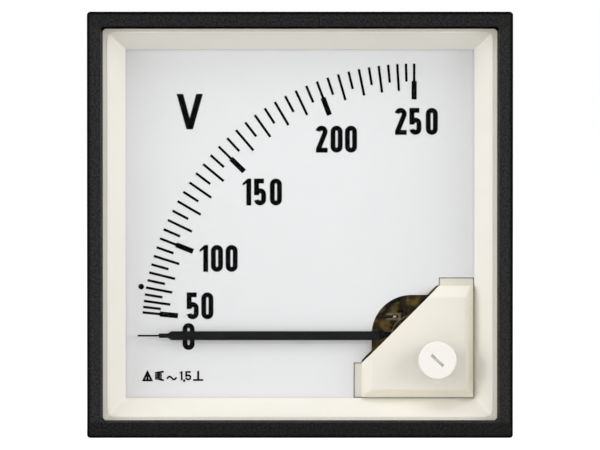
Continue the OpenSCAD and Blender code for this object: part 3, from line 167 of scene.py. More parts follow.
# tone and worn are the two colours, patch the size of their drift, edge how hard they part,
# swing how far the roughness varies, grain and depth the size of the relief
looks = {
    "bezelPlastic": dict(
        tone=(0.0003, 0.0004, 0.0003), worn=(0.0140, 0.0143, 0.0133), patch=0.5 * mm,
        edge=(0.41, 0.58), rough=0.42, swing=0.1, specular=0.17, grain=0.3 * mm, depth=0.02 * mm,
    ),
    "housingPlastic": dict(
        tone=(0.0040, 0.0042, 0.0042), worn=(0.0120, 0.0123, 0.0120), patch=0.8 * mm,
        rough=0.45, swing=0.05, specular=0.24, grain=0.3 * mm, depth=0.02 * mm,
    ),
    "creamPlastic": dict(
        tone=(0.85, 0.825, 0.755), worn=(0.835, 0.81, 0.735),
        rough=0.46, specular=0.3, grain=0.4 * mm, depth=0.002 * mm,
    ),
    # black finish that paints shade on the top side of the bezel opening
    "openingPaintedShade": dict(
        tone=(0.0003, 0.0003, 0.0003), worn=(0.0006, 0.0006, 0.0006), rough=0.8, specular=0.02,
    ),
    # painted light: a lighter cream for the cover's slopes turned away from the dial
    "slopePaintedLight": dict(
        tone=(0.97, 0.925, 0.80), worn=(0.96, 0.91, 0.785),
        rough=0.42, specular=0.3, grain=0.5 * mm, depth=0.003 * mm,
    ),
    # painted shade: a greyer cream for the cover's lugs, behind the dial face
    "lugPaintedShade": dict(
        tone=(0.76, 0.745, 0.67), worn=(0.745, 0.73, 0.65),
        rough=0.42, specular=0.3, grain=0.5 * mm, depth=0.003 * mm,
    ),
    # painted light: a lighter cream for the rim of the mask, beside the bezel
    "rimPaintedLight": dict(
        tone=(0.97, 0.925, 0.80), worn=(0.95, 0.905, 0.78),
        rough=0.46, specular=0.3, grain=0.4 * mm, depth=0.002 * mm,
    ),
    # painted highlight: a near-white cream along the bead of the mask
    "beadPaintedHighlight": dict(
        tone=(0.97, 0.95, 0.885), worn=(0.96, 0.94, 0.87),
        rough=0.4, specular=0.4, grain=0.4 * mm, depth=0.002 * mm,
    ),
    "coverPlastic": dict(
        tone=(0.86, 0.825, 0.735), worn=(0.845, 0.81, 0.715),
        rough=0.42, specular=0.3, grain=0.5 * mm, depth=0.003 * mm,
    ),
    "adjusterPlastic": dict(
        tone=(0.80, 0.775, 0.735), worn=(0.785, 0.76, 0.715),
        rough=0.34, swing=0.04, specular=0.4, grain=0.3 * mm, depth=0.002 * mm,
    ),
    "dialPaint": dict(
        tone=(0.795, 0.80, 0.807), worn=(0.785, 0.79, 0.797), patch=9 * mm,
        rough=0.55, specular=0.3, grain=0.12 * mm, depth=0.002 * mm,
    ),
    "dialInk": dict(
        tone=(0.0004, 0.0004, 0.0004), worn=(0.0007, 0.0007, 0.0007),
        rough=0.9, specular=0.0, grain=0.1 * mm, depth=0.003 * mm,
    ),
    "pointerPaint": dict(
        tone=(0.0022, 0.0024, 0.0020), worn=(0.0042, 0.0044, 0.0036), patch=2 * mm,
        rough=0.75, specular=0.08, grain=0.12 * mm, depth=0.006 * mm,
    ),
    "brass": dict(
        tone=(0.62, 0.44, 0.17), worn=(0.42, 0.28, 0.10), patch=1.5 * mm,
        rough=0.32, swing=0.10, metallic=1.0, grain=0.08 * mm, depth=0.003 * mm,
    ),
    "dullBrass": dict(
        tone=(0.42, 0.30, 0.11), worn=(0.23, 0.15, 0.05), patch=2 * mm,
        rough=0.45, swing=0.12, metallic=1.0, grain=0.2 * mm, depth=0.01 * mm,
    ),
    "plateBronze": dict(
        tone=(0.42, 0.275, 0.05), worn=(0.035, 0.02, 0.004), patch=2.3 * mm, edge=(0.33, 0.57),
        rough=0.55, swing=0.14, metallic=0.7, grain=0.3 * mm, depth=0.04 * mm,
    ),
    "zincSteel": dict(
        tone=(0.55, 0.54, 0.50), worn=(0.42, 0.41, 0.36), patch=2 * mm,
        rough=0.35, swing=0.1, metallic=1.0, grain=0.12 * mm, depth=0.004 * mm,
    ),
    "polishedSteel": dict(
        tone=(0.60, 0.60, 0.61), worn=(0.52, 0.52, 0.53), patch=1 * mm,
        rough=0.22, metallic=1.0, grain=0.06 * mm, depth=0.002 * mm,
    ),
    "springSteel": dict(
        tone=(0.50, 0.50, 0.51), worn=(0.36, 0.36, 0.38), patch=1 * mm,
        rough=0.3, metallic=1.0, grain=0.06 * mm, depth=0.002 * mm,
    ),
    "bronzeStrip": dict(
        tone=(0.46, 0.33, 0.16), worn=(0.34, 0.23, 0.10), patch=1 * mm,
        rough=0.3, metallic=1.0, grain=0.06 * mm, depth=0.002 * mm,
    ),
    "aluminium": dict(
        tone=(0.70, 0.70, 0.71), worn=(0.60, 0.60, 0.61), patch=1 * mm,
        rough=0.3, metallic=1.0, grain=0.07 * mm, depth=0.003 * mm,
    ),
    "softIron": dict(
        tone=(0.20, 0.195, 0.19), worn=(0.12, 0.115, 0.11), patch=1 * mm,
        rough=0.5, metallic=1.0, grain=0.1 * mm, depth=0.004 * mm,
    ),
    "ruby": dict(
        tone=(0.42, 0.02, 0.05), worn=(0.30, 0.01, 0.03), patch=0.4 * mm,
        rough=0.1, swing=0.03, specular=0.8, coat=0.6, grain=0.1 * mm, depth=0.001 * mm,
    ),
    "formerPlastic": dict(
        tone=(0.014, 0.014, 0.015), worn=(0.02, 0.02, 0.02),
        rough=0.5, grain=0.15 * mm, depth=0.006 * mm,
    ),
    "clearNylon": dict(
        tone=(0.66, 0.64, 0.56), worn=(0.60, 0.58, 0.5),
        rough=0.4, grain=0.2 * mm, depth=0.003 * mm,
    ),
    "solder": dict(
        tone=(0.80, 0.80, 0.82), worn=(0.55, 0.55, 0.56), patch=0.5 * mm,
        rough=0.18, swing=0.08, metallic=1.0, grain=0.2 * mm, depth=0.02 * mm,
    ),
    "wireCover": dict(
        tone=(0.045, 0.024, 0.014), worn=(0.03, 0.016, 0.010), patch=2 * mm,
        rough=0.45, grain=0.2 * mm, depth=0.003 * mm,
    ),
    "resistorGlaze": dict(
        tone=(0.09, 0.20, 0.15), worn=(0.07, 0.16, 0.12), patch=1.5 * mm,
        rough=0.35, grain=0.3 * mm, depth=0.02 * mm,
    ),
    "dullTag": dict(
        tone=(0.36, 0.27, 0.14), worn=(0.20, 0.14, 0.06), patch=0.8 * mm,
        rough=0.42, swing=0.1, metallic=0.9, grain=0.1 * mm, depth=0.006 * mm,
    ),
    "studBrass": dict(
        tone=(0.58, 0.47, 0.24), worn=(0.45, 0.34, 0.15), patch=2 * mm,
        rough=0.33, swing=0.09, metallic=1.0, grain=0.08 * mm, depth=0.003 * mm,
    ),
    "copperWire": dict(
        tone=(0.55, 0.20, 0.08), worn=(0.40, 0.13, 0.05), patch=2 * mm, rough=0.3, metallic=1.0,
    ),
}
finishes = {name: finish(name, **values) for name, values in looks.items()}

pane = {
    "tone": (0.02, 0.024, 0.024, 1.0),
    "alpha": 0.03,
    "specular": 1.0,
    "roughness": (0.03, 0.09),
    "patch": 7 * mm,
}


# clear pane: mostly see-through, with a slight gloss of its own
def clearPane():
    material = bpy.data.materials.new("clearPane")
    material.use_nodes = True
    tree = material.node_tree
    shader = tree.nodes["Principled BSDF"]
    shader.inputs["Base Color"].default_value = pane["tone"]
    shader.inputs["Alpha"].default_value = pane["alpha"]
    shader.inputs["Specular IOR Level"].default_value = pane["specular"]
    gloss = spread(tree, noiseField(tree, objectPlace(tree), pane["patch"]), *pane["roughness"])
    tree.links.new(gloss, shader.inputs["Roughness"])
    return material


finishes["clearPane"] = clearPane()

# painted shade on the bezel: where it falls and how dark it is
paintedBezelShade = {
    "darkFrom": 47.05 * mm,  # distances are from the middle of the front
    "blackFrom": 47.8 * mm,
    "memberFrom": 44.2 * mm,
    "memberFade": 0.6 * mm,
    "topShare": 0.2,  # how much darker the two members are, from 0 to 1
    "bottomShare": 0.42,
    "dark": (0.0002, 0.0002, 0.0002),
}


# painted shade: the bezel goes darker at its outer edge, and a little in its top and bottom
# members, in its colour and in its gloss
def paintBezelShade(material):
    tree = material.node_tree
    shader = tree.nodes["Principled BSDF"]
    axes = addNode(tree, "ShaderNodeSeparateXYZ")
    tree.links.new(objectPlace(tree), axes.inputs["Vector"])
    across, up = axes.outputs["X"], axes.outputs["Z"]
    start, end = paintedBezelShade["memberFrom"], paintedBezelShade["memberFrom"] + paintedBezelShade["memberFade"]
    reach = compute(
        tree, "MAXIMUM", compute(tree, "ABSOLUTE", across), compute(tree, "ABSOLUTE", up)
    )
    ring = spread(tree, reach, 0.0, 1.0, paintedBezelShade["darkFrom"], paintedBezelShade["blackFrom"])
    top = spread(tree, up, 0.0, paintedBezelShade["topShare"], start, end)
    bottom = spread(tree, up, paintedBezelShade["bottomShare"], 0.0, -end, -start)
    shade = compute(tree, "MAXIMUM", ring, compute(tree, "MAXIMUM", top, bottom))
    colour = shader.inputs["Base Color"].links[0].from_socket
    darker = blendTones(tree, shade, colour, paintedBezelShade["dark"])
    tree.links.new(darker, shader.inputs["Base Color"])
    shine = shader.inputs["Specular IOR Level"]
    lit = compute(tree, "SUBTRACT", 1.0, shade)
    tree.links.new(compute(tree, "MULTIPLY", lit, shine.default_value), shine)


paintBezelShade(finishes["bezelPlastic"])

winding = {"pitch": 0.3 * mm, "depth": 0.08 * mm}


# enamelled wire, layer on layer, as fine rings along the coil
def windRings(material):
    tree = material.node_tree
    rings = addNode(tree, "ShaderNodeTexWave", wave_type="BANDS", bands_direction="Y")
    rings.inputs["Scale"].default_value = 0.5 / winding["pitch"]
    tree.links.new(objectPlace(tree), rings.inputs["Vector"])
    addRelief(tree, rings.outputs["Fac"], winding["depth"])


windRings(finishes["copperWire"])

nodeFinish = {
    "bezel": "bezelPlastic", "window": "clearPane", "mask_frame": "creamPlastic",
    "dial_plate": "dialPaint", "scale_marks": "dialInk", "corner_cover": "coverPlastic",
    "housing": "housingPlastic", "zero_adjuster": "adjusterPlastic",
    "adjuster_clip": "springSteel", "zero_lever": "brass", "spring_stud": "brass",
    "hairspring": "bronzeStrip", "bearing_bridge": "dullBrass", "bridge_pillars": "brass",
    "bridge_screws": "zincSteel", "lever_bush": "brass", "front_jewel_screw": "brass",
    "front_jewel": "ruby", "rear_jewel_screw": "brass", "rear_jewel": "ruby",
    "rear_locknut": "brass", "spindle": "polishedSteel", "spring_collet": "brass",
    "pointer": "pointerPaint", "pointer_hub": "aluminium", "balance_arms": "springSteel",
    "balance_weights": "brass", "iron_holder": "aluminium", "moving_iron": "softIron",
    "fixed_iron": "softIron", "bobbin": "formerPlastic", "coil_winding": "copperWire",
    "damping_disc": "aluminium", "damping_cup": "clearNylon", "front_plate": "plateBronze",
    "rear_plate": "plateBronze", "plate_pillars": "brass", "plate_screws": "zincSteel",
    "frame_screws": "zincSteel", "coil_tags": "dullTag", "solder_joints": "solder",
    "lead_wires": "wireCover", "series_resistor": "resistorGlaze",
    "contact_strip_left": "brass", "contact_strip_right": "brass",
    "terminal_stud_left": "studBrass", "terminal_stud_right": "studBrass",
    "terminal_nuts": "studBrass", "terminal_washers": "zincSteel",
    "terminal_clamps": "zincSteel",
}
for node, finishName in nodeFinish.items():
    for holder in frame["nodes"][node].material_slots:
        holder.material = finishes[finishName]
report("materials")


def bodyOf(node):
    for bodyName, members in frame["record"]["behaviour"]["bodies"].items():
        if node in members:
            return bodyName


# how far out a vertex lies from the middle of the front
def reachOf(vert):
    return max(abs(vert.co.x), abs(vert.co.z))


# a CAD solid as merged faces, which may be reshaped
def mergedCopy(node):
    bm = bmesh.new()
    bm.from_mesh(frame["nodes"][node].data)
    bmesh.ops.remove_doubles(bm, verts=bm.verts, dist=weld)
    bmesh.ops.dissolve_limit(bm, angle_limit=flatAngle, verts=bm.verts, edges=bm.edges)
    return bm


def addObject(name, data):
    item = bpy.data.objects.new(name, data)
    bpy.context.scene.collection.objects.link(item)
    return item


paneFront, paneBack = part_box("window")[0].y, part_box("window")[1].y
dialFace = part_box("dial_plate")[0].y

maskRim = {
    "bead": 43.4 * mm,  # outer side of the bead, from the middle
    "beadBand": (-0.6 * mm, 0.1 * mm),  # its vertices lie this near to it
    "beadDepth": 0.2 * mm,  # and in front of this level behind the pane
    "wider": 0.22 * mm,  # how far the bead moves outwards
    "fold": 44.5 * mm,  # where the rim starts to climb
    "flat": 0.12 * mm,  # level of the rim behind the pane
    "rise": 0.54 * mm,
    "deepest": 0.3 * mm,  # faces of the rim end in front of this
    "cutWithin": 1e-7,  # how near to the fold a vertex counts as on it
}


# the mask outside its bead climbs to the pane as a shallow cove; its rim takes a lighter finish
# as painted light, and its bead a painted highlight
def climbRim(bm):
    inner, outer = maskRim["beadBand"]
    for vert in bm.verts:
        if vert.co.y < paneBack + maskRim["beadDepth"]:
            for axis in (0, 2):
                if inner < abs(vert.co[axis]) - maskRim["bead"] < outer:
                    vert.co[axis] += math.copysign(maskRim["wider"], vert.co[axis])
    for axis in ((1, 0, 0), (-1, 0, 0), (0, 0, 1), (0, 0, -1)):
        bmesh.ops.bisect_plane(
            bm, geom=bm.verts[:] + bm.edges[:] + bm.faces[:], dist=maskRim["cutWithin"],
            plane_co=Vector(axis) * maskRim["fold"], plane_no=axis,
        )
    fold = maskRim["fold"] - weld
    for vert in bm.verts:
        if reachOf(vert) > fold and abs(vert.co.y - paneBack - maskRim["flat"]) < onLevel:
            vert.co.y -= maskRim["rise"]
    bead = maskRim["bead"] + maskRim["wider"] + weld
    # rim faces get the painted light finish, bead faces the painted highlight
    for face in bm.faces:
        furthest = max(reachOf(vert) for vert in face.verts)
        deepest = max(vert.co.y for vert in face.verts)
        onRim = furthest > fold and deepest < paneBack + maskRim["deepest"]
        onBead = furthest < bead and deepest < paneBack + weld
        face.material_index = 2 if onBead else 1 if onRim else 0


bezelOpening = {
    "frontReach": 45.0 * mm,  # half the opening at the front of the bezel, and at the pane
    "paneReach": 44.45 * mm,
    "cornerRadius": 1.3 * mm,  # at the pane
    "cornerKept": 0.55,  # share of that radius that is left
    "trueArc": 0.02 * mm,  # how exactly a vertex has to lie on the corner's arc
    "sidesWithin": 45.3 * mm,  # the opening's sides lie within this
    "topLower": 0.26 * mm,
    "bottomHigher": 0.38 * mm,
    "shadeWithin": 46 * mm,
    "facesDown": 0.3,  # share of a normal that makes a face part of the top side
}


# rounded corners of an outline drawn in to a smaller radius
def tightenCorners(verts, reach, radius):
    flat, kept = reach - radius, bezelOpening["cornerKept"]
    for vert in verts:
        along, up = abs(vert.co.x) - flat, abs(vert.co.z) - flat
        offArc = abs(math.hypot(along, up) - radius)
        if min(along, up) > -onLevel and offArc < bezelOpening["trueArc"]:
            for axis in (0, 2):
                drawn = flat + (1 - kept) * radius + kept * (abs(vert.co[axis]) - flat)
                vert.co[axis] = math.copysign(drawn, vert.co[axis])


# the opening of the bezel is a little less high than wide, and the faces of its top side get a
# black finish as painted shade
def narrowOpening(bm):
    paneReach = bezelOpening["paneReach"]
    for level, reach in ((cadLow.y, bezelOpening["frontReach"]), (paneFront, paneReach)):
        ring = [
            vert for vert in bm.verts
            if abs(vert.co.y - level) < onLevel and reachOf(vert) < reach + onLevel
        ]
        tightenCorners(ring, reach, bezelOpening["cornerRadius"] + reach - paneReach)
    for vert in bm.verts:
        if reachOf(vert) < bezelOpening["sidesWithin"] and vert.co.y < paneFront + weld:
            low = vert.co.z < 0
            vert.co.z += bezelOpening["bottomHigher"] if low else -bezelOpening["topLower"]
    bm.normal_update()
    # faces of the top side of the opening take the painted shade finish
    for face in bm.faces:
        inside = max(abs(vert.co.x) for vert in face.verts) < bezelOpening["shadeWithin"]
        down = -face.normal.z > bezelOpening["facesDown"]
        topSide = down and face.calc_center_median().z > 0
        face.material_index = 1 if inside and topSide else 0


# edges of these nodes behind this level get a smaller radius
smallBehind = {"corner_cover": dialFace - 0.25 * mm}
coverSlope = {"front": 0.2, "away": 0.3}  # shares of a normal that make a face a far slope


# slopes of the cover turned away from the dial, made lighter as painted light, and its lugs
# behind the dial face, made greyer as painted shade
def coverFaces(bm):
    for face in bm.faces:
        behind = min(vert.co.y for vert in face.verts) > smallBehind["corner_cover"]
        away = max(face.normal.x, -face.normal.z) > coverSlope["away"]
        slope = -face.normal.y > coverSlope["front"] and away
        face.material_index = 2 if behind else 1 if slope else 0


ink = {
    "spread": 0.068 * mm,
    "higher": 0.08 * mm,  # the print sits a little high, more so towards its top
    "taller": 0.008,
    "sideBelow": 0.5,  # faces whose normals turn less to the front than this are sides
}


# ink spreads a little past the lines of the graduation
def spreadInk(bm):
    moves = {}
    for vert in bm.verts:
        normals = [face.normal for face in vert.link_faces]
        sides = [normal for normal in normals if abs(normal.y) < ink["sideBelow"]]
        if len(sides) > 1:
            outwards = sides[0] + sides[-1]
            moves[vert] = outwards * ink["spread"] / (1 + sides[0].dot(sides[-1]))
    for vert, move in moves.items():
        vert.co += move
    for vert in bm.verts:
        vert.co.z += ink["higher"] + ink["taller"] * vert.co.z


reshape = {
    "scale_marks": spreadInk, "mask_frame": climbRim,
    "bezel": narrowOpening, "corner_cover": coverFaces,
}
# these extra finishes are painted light and shade: the lighter rim, bead and cover slopes, the
# greyer lugs and the black top side of the bezel opening
extraFinish = {  # finishes 1 and 2 of the faces that these functions choose
    "mask_frame": ("rimPaintedLight", "beadPaintedHighlight"),
    "bezel": ("openingPaintedShade",),
    "corner_cover": ("slopePaintedLight", "lugPaintedShade"),
}
clearOf = {  # level, reach from the middle and shift, so that no two faces share a plane
    "window": [(paneBack, math.inf, -0.5 * mm)],
    "mask_frame": [
        (paneBack + 0.4 * mm, math.inf, -0.28 * mm), (dialFace, 39.6 * mm, -0.42 * mm),
    ],
}
freeEdges = ("corner_cover", "mask_frame")  # their bevels aren't held back by short edges
edgeBevel = {
    "segments": 2,
    "from": 25.0,  # degrees that an edge has to turn
    "smallShare": 0.3,  # of the radius, behind the level of smallBehind
}
edgeRadius = {
    "window": 0.1 * mm, "scale_marks": 0.008 * mm, "bezel": 0.15 * mm,
    "mask_frame": 0.035 * mm, "corner_cover": 0.4 * mm, "zero_adjuster": 0.12 * mm,
    "housing": 0.3 * mm, "dial_plate": 0.05 * mm, "terminal_clamps": 0.15 * mm,
    "terminal_washers": 0.08 * mm, "terminal_nuts": 0.12 * mm, "bearing_bridge": 0.08 * mm,
}


# a copy of a CAD solid with small rounded edges, which replaces it
def softened(node, radius):
    bm = mergedCopy(node)
    for level, reach, shift in clearOf.get(node, ()):
        for vert in bm.verts:
            if abs(vert.co.y - level) < onLevel and reachOf(vert) < reach:
                vert.co.y += shift
    if node in reshape:
        reshape[node](bm)
    weight = bm.edges.layers.float.new("bevel_weight_edge")
    bevelFrom = math.radians(edgeBevel["from"])
    for edge in bm.edges:
        if len(edge.link_faces) == 2 and edge.calc_face_angle(0) > bevelFrom:
            front = max(vert.co.y for vert in edge.verts) < smallBehind.get(node, math.inf)
            edge[weight] = 1.0 if front else edgeBevel["smallShare"]
    mesh = bpy.data.meshes.new(node + "_softened")
    for finishName in (nodeFinish[node], *extraFinish.get(node, ())):
        mesh.materials.append(finishes[finishName])
    for face in bm.faces:
        face.material_index = face.material_index if node in extraFinish else 0
        face.smooth = True
    bm.to_mesh(mesh)
    bm.free()
    piece = addObject(node + "_softened", mesh)
    bevel = piece.modifiers.new("edges", "BEVEL")
    bevel.width = radius
    bevel.segments = edgeBevel["segments"]
    bevel.limit_method = "WEIGHT"
    bevel.harden_normals = True
    bevel.use_clamp_overlap = node not in freeEdges
    shade = piece.modifiers.new("flatFaces", "WEIGHTED_NORMAL")
    shade.mode = "FACE_AREA"
    shade.weight = 100
    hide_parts(node)
    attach(piece, bodyOf(node))


for node, radius in edgeRadius.items():
    softened(node, radius)
report("softened solids")

dialPrint = {
    "lift": 0.05 * mm,
    "height": 6.08 * mm,
    "digitWidth": 2.72 * mm,
    "stroke": 1.1 * mm,
    "arcSteps": 12,
    "mitre": 0.4,  # where the points of a stroke's corners are cut off
}
printFace = dialFace - dialPrint["lift"]


# points of an arc round a middle at x = 0, angles in degrees from +X towards +Z
def arc(level, radius, start, end):
    steps = dialPrint["arcSteps"]
    turns = [math.radians(start + (end - start) * i / steps) for i in range(steps + 1)]
    return [(radius * math.cos(turn), level + radius * math.sin(turn)) for turn in turns]


# a flat stroke of even width along a line of points, in X and Z
def ribbon(bm, points, width, closed=False, place=(0, 0)):
    count = len(points)
    rails = []
    for i, point in enumerate(points):
        before = points[(i - 1) % count] if closed or i else point
        after = points[(i + 1) % count] if closed or i < count - 1 else point
        into = Vector((point[0] - before[0], point[1] - before[1]))
        out = Vector((after[0] - point[0], after[1] - point[1]))
        into = into.normalized() if into.length else out.normalized()
        out = out.normalized() if out.length else into
        side = Vector((-(into + out).y, (into + out).x)).normalized()
        reach = width / 2 / max(dialPrint["mitre"], side.dot(Vector((-into.y, into.x))))
        x, z = place[0] + point[0], place[1] + point[1]
        rails.append([
            bm.verts.new((x + half * side.x * reach, printFace, z + half * side.y * reach))
            for half in (-1, 1)
        ])
    for i in range(count if closed else count - 1):
        a, b = rails[i], rails[(i + 1) % count]
        bm.faces.new((a[0], a[1], b[1], b[0]))


def flatFace(bm, points, place=(0, 0)):
    bm.faces.new([bm.verts.new((place[0] + x, printFace, place[1] + z)) for x, z in points])


# the drawn strokes, turned towards the viewer and given the ink's thickness
def printedPiece(name, bm):
    bmesh.ops.recalc_face_normals(bm, faces=bm.faces)
    for face in bm.faces:
        if face.normal.y > 0:
            face.normal_flip()
    extruded = bmesh.ops.extrude_face_region(bm, geom=bm.faces[:])
    moved = [item for item in extruded["geom"] if isinstance(item, bmesh.types.BMVert)]
    bmesh.ops.translate(bm, verts=moved, vec=(0, dialPrint["lift"], 0))
    bmesh.ops.recalc_face_normals(bm, faces=bm.faces)
    mesh = bpy.data.meshes.new(name)
    bm.to_mesh(mesh)
    bm.free()
    mesh.materials.append(finishes["dialInk"])
    piece = addObject(name, mesh)
    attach(piece, bodyOf("dial_plate"))


# lengths are shares of a figure's width, height or stroke, angles are in degrees
digitShape = {
    "oneRight": 0.36,  # of the width, as are the next two
    "oneTop": 0.11,
    "oneFlag": 0.3,
    "flagLevels": (0.17, 0.265, 0.175),  # of the height, below the top
    "twoHook": (172, -22),
    "twoHeel": (0.1 * mm, 0.25 * mm),  # in metres, as is fiveInset
    "twoFoot": 0.42,  # of the stroke
    "fiveArm": 0.08,  # of the stroke
    "fiveInset": 0.02 * mm,
    "fiveStem": 0.12,  # of the height
    "fiveBowl": (128, -172),
    "bowlRise": 0.05,  # of the height
    "bowlStart": (0.62, 0.055),  # of half the width, and of the height
}


# centre lines of a narrow upright digit of outer size w by h and stroke t
def digitLines(digit, w, h, t):
    x, z = (w - t) / 2, (h - t) / 2
    if digit == "0":
        return [(arc(z - x, x, 0, 180) + arc(x - z, x, 180, 360), True)]
    if digit == "2":
        aside, above = digitShape["twoHeel"]
        hook = arc(z - x, x, *digitShape["twoHook"]) + [(-x + aside, -z + above)]
        foot = [(-x - t * digitShape["twoFoot"], -z), (x + t / 2, -z)]
        return [(hook, False), (foot, False)]
    stem, (start, end) = -x + digitShape["fiveInset"], digitShape["fiveBowl"]
    bowl = arc(digitShape["bowlRise"] * h - x, x, start, 0) + arc(x - z, x, 0, end)
    inwards, down = digitShape["bowlStart"]
    return [
        ([(x + t * digitShape["fiveArm"], z), (stem, z)], False),
        ([(stem, h / 2), (stem, -digitShape["fiveStem"] * h)], False),
        ([(-x, -down * h), (-x * inwards, 0.0)] + bowl[2:], False),
    ]


# one figure of outer size w by h and stroke t, its middle at place
def drawDigit(bm, digit, w, h, t, place):
    if digit == "1":
        right, top = digitShape["oneRight"] * w, h / 2
        left = right - t
        flag = left - digitShape["oneFlag"] * w
        upper, lower, root = (top - level * h for level in digitShape["flagLevels"])
        flatFace(bm, [
            (left, -top), (right, -top), (right, top), (left + digitShape["oneTop"] * w, top),
            (flag, upper), (flag, lower), (left, root),
        ], place)
        return
    for points, closed in digitLines(digit, w, h, t):
        ribbon(bm, points, t, closed, place)


numerals = {  # in mm: height of the line, then the middle of each figure
    "0": (-25.5, [-25.2]), "50": (-18.55, [-24.28, -20.95]),
    "100": (-7.82, [-21.75, -18.78, -15.46]), "150": (7.2, [-12.0, -9.04, -5.45]),
    "200": (19.15, [4.88, 8.27, 11.53]), "250": (23.17, [22.76, 26.08, 29.79]),
}
bm = bmesh.new()
for text, (level, middles) in numerals.items():
    for digit, middle in zip(text, middles):
        drawDigit(
            bm, digit, dialPrint["digitWidth"], dialPrint["height"], dialPrint["stroke"],
            (middle * mm, level * mm),
        )
printedPiece("scale_numerals", bm)

unitLetter = {
    "height": 8.0 * mm,
    "width": 5.95 * mm,
    "stroke": 1.44 * mm,
    "slant": 1.04,  # shares of the stroke: width along the top, the notch, half the point
    "notch": 1.75,
    "point": 0.5,
    "place": (-24.93 * mm, 25.38 * mm),
}
bm = bmesh.new()
high, wide, stroke = unitLetter["height"] / 2, unitLetter["width"] / 2, unitLetter["stroke"]
slant, notch, point = (stroke * unitLetter[part] for part in ("slant", "notch", "point"))
flatFace(bm, [
    (-wide, high), (-wide + slant, high), (0, -high + notch), (wide - slant, high),
    (wide, high), (point, -high), (-point, -high),
], unitLetter["place"])
printedPiece("unit_letter", bm)

symbol = {
    "stroke": 0.4 * mm,
    "base": -35.4 * mm,
    "height": 2.05 * mm,
    "oneWidth": 1.1 * mm,
    "fiveWidth": 1.4 * mm,
    "fiveTaller": 1.02,
    "onePlace": -26.95 * mm,
    "fivePlace": -25.27 * mm,
}
# each stroke, in mm: middle of its sign, lift from the base line, its points, then its share
# of the full width, and whether it closes
triangle = [
    (-34.5, 0.0, [(-0.9, 0), (0, 1.85), (0.9, 0)], 1.1, True),
    (-34.5, 0.0, [(0, 0), (0, 1.25)], 1.1, False),
]
ironCoil = [
    (-32.0, 0.3 + 0.36 * row, [(-0.78, 0), (0.75, 0.07)], 0.75, False) for row in range(5)
]
coilCore = [(-32.0, 0.0, [(0, 0.15), (0, 2.0)], 1.1, False)]
coilEnds = [
    (-32.0, 0.0, [(-0.1, near), (0.65, (near + 2 * far) / 3), (1.2, far)], 1.0, False)
    for near, far in ((1.72, 1.98), (0.32, -0.02))
]
wave = [(x * 0.1, 0.33 * math.sin(-x * math.pi / 9.5)) for x in range(-11, 12)]
waveSign = [(-29.0, 0.5, wave, 1.0, False)]
comma = [(-26.2, -0.05, [(0.06, 0.22), (-0.06, -0.3)], 1.2, False)]
upright = [
    (-23.03, 0.06, [(-1.15, 0), (1.15, 0)], 1.0, False),
    (-23.03, 0.06, [(0, 0), (0, 2.08)], 1.15, False),
]


def drawStrokes(bm, strokes):
    for middle, lift, points, share, closed in strokes:
        line = [(x * mm, z * mm) for x, z in points]
        place = (middle * mm, symbol["base"] + lift * mm)
        ribbon(bm, line, symbol["stroke"] * share, closed, place)


bm = bmesh.new()
thin, tall = symbol["stroke"], symbol["height"]
level = symbol["base"] + tall / 2
drawStrokes(bm, triangle + ironCoil + coilCore + coilEnds + waveSign)
drawDigit(bm, "1", symbol["oneWidth"], tall, thin, (symbol["onePlace"], level))
drawStrokes(bm, comma)
fiveTall = tall * symbol["fiveTaller"]
drawDigit(bm, "5", symbol["fiveWidth"], fiveTall, thin, (symbol["fivePlace"], level))
drawStrokes(bm, upright)
printedPiece("scale_symbols", bm)
report("dial print")

thread = {
    "pitch": 0.7 * mm,
    "depth": 0.38 * mm,
    "steps": 28,  # in each turn
    "chamfer": 0.45 * mm,
    "startBefore": 1.0 * mm,  # in front of the washers
    "coreSides": 48,
    "coreOverlap": 0.02 * mm,
    "seam": 2e-7,  # vertices nearer than this are merged
}
# each point of one turn: whether it stands on the crest, and its share of the pitch
threadProfile = [(False, 0.0), (True, 0.42), (True, 0.52), (False, 0.94), (False, 1.0)]


# terminal studs with a turned thread, in place of their plain CAD shanks
def threadedStud(node):
    low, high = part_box(node)
    cx, cz = (low.x + high.x) / 2, (low.z + high.z) / 2
    start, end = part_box("terminal_washers")[0].y - thread["startBefore"], high.y
    bm = mergedCopy(node)
    tip = [vert for vert in bm.verts if vert.co.y > end - weld]
    radius = max((vert.co - Vector((cx, vert.co.y, cz))).length for vert in tip)
    bmesh.ops.bisect_plane(
        bm, geom=bm.verts[:] + bm.edges[:] + bm.faces[:], plane_co=(0, start, 0),
        plane_no=(0, 1, 0), clear_outer=True,
    )
    bmesh.ops.holes_fill(bm, edges=[edge for edge in bm.edges if edge.is_boundary])
    root = radius - thread["depth"]
    line = []
    for crest, share in threadProfile:
        x = cx + (radius if crest else root)
        line.append(bm.verts.new((x, start + share * thread["pitch"], cz)))
    edges = [bm.edges.new(pair) for pair in zip(line, line[1:])]
    turns = int((end - thread["chamfer"] - start) / thread["pitch"]) - 1
    bmesh.ops.spin(
        bm, geom=line + edges, cent=(cx, 0, cz), axis=(0, 1, 0),
        dvec=(0, thread["pitch"] / thread["steps"], 0),
        angle=math.tau * turns, steps=thread["steps"] * turns,
    )
    core = root + thread["coreOverlap"]
    middle = Matrix.Translation((cx, (start + end) / 2, cz))
    bmesh.ops.create_cone(
        bm, cap_ends=True, segments=thread["coreSides"], radius1=core, radius2=core,
        depth=end - start, matrix=middle @ Matrix.Rotation(math.pi / 2, 4, "X"),
    )
    bmesh.ops.remove_doubles(bm, verts=bm.verts, dist=thread["seam"])
    bmesh.ops.recalc_face_normals(bm, faces=bm.faces)
    mesh = bpy.data.meshes.new(node + "_threaded")
    bm.to_mesh(mesh)
    bm.free()
    mesh.materials.append(finishes["studBrass"])
    for face in mesh.polygons:
        face.use_smooth = False
    piece = addObject(node + "_threaded", mesh)
    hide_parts(node)
    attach(piece, bodyOf(node))


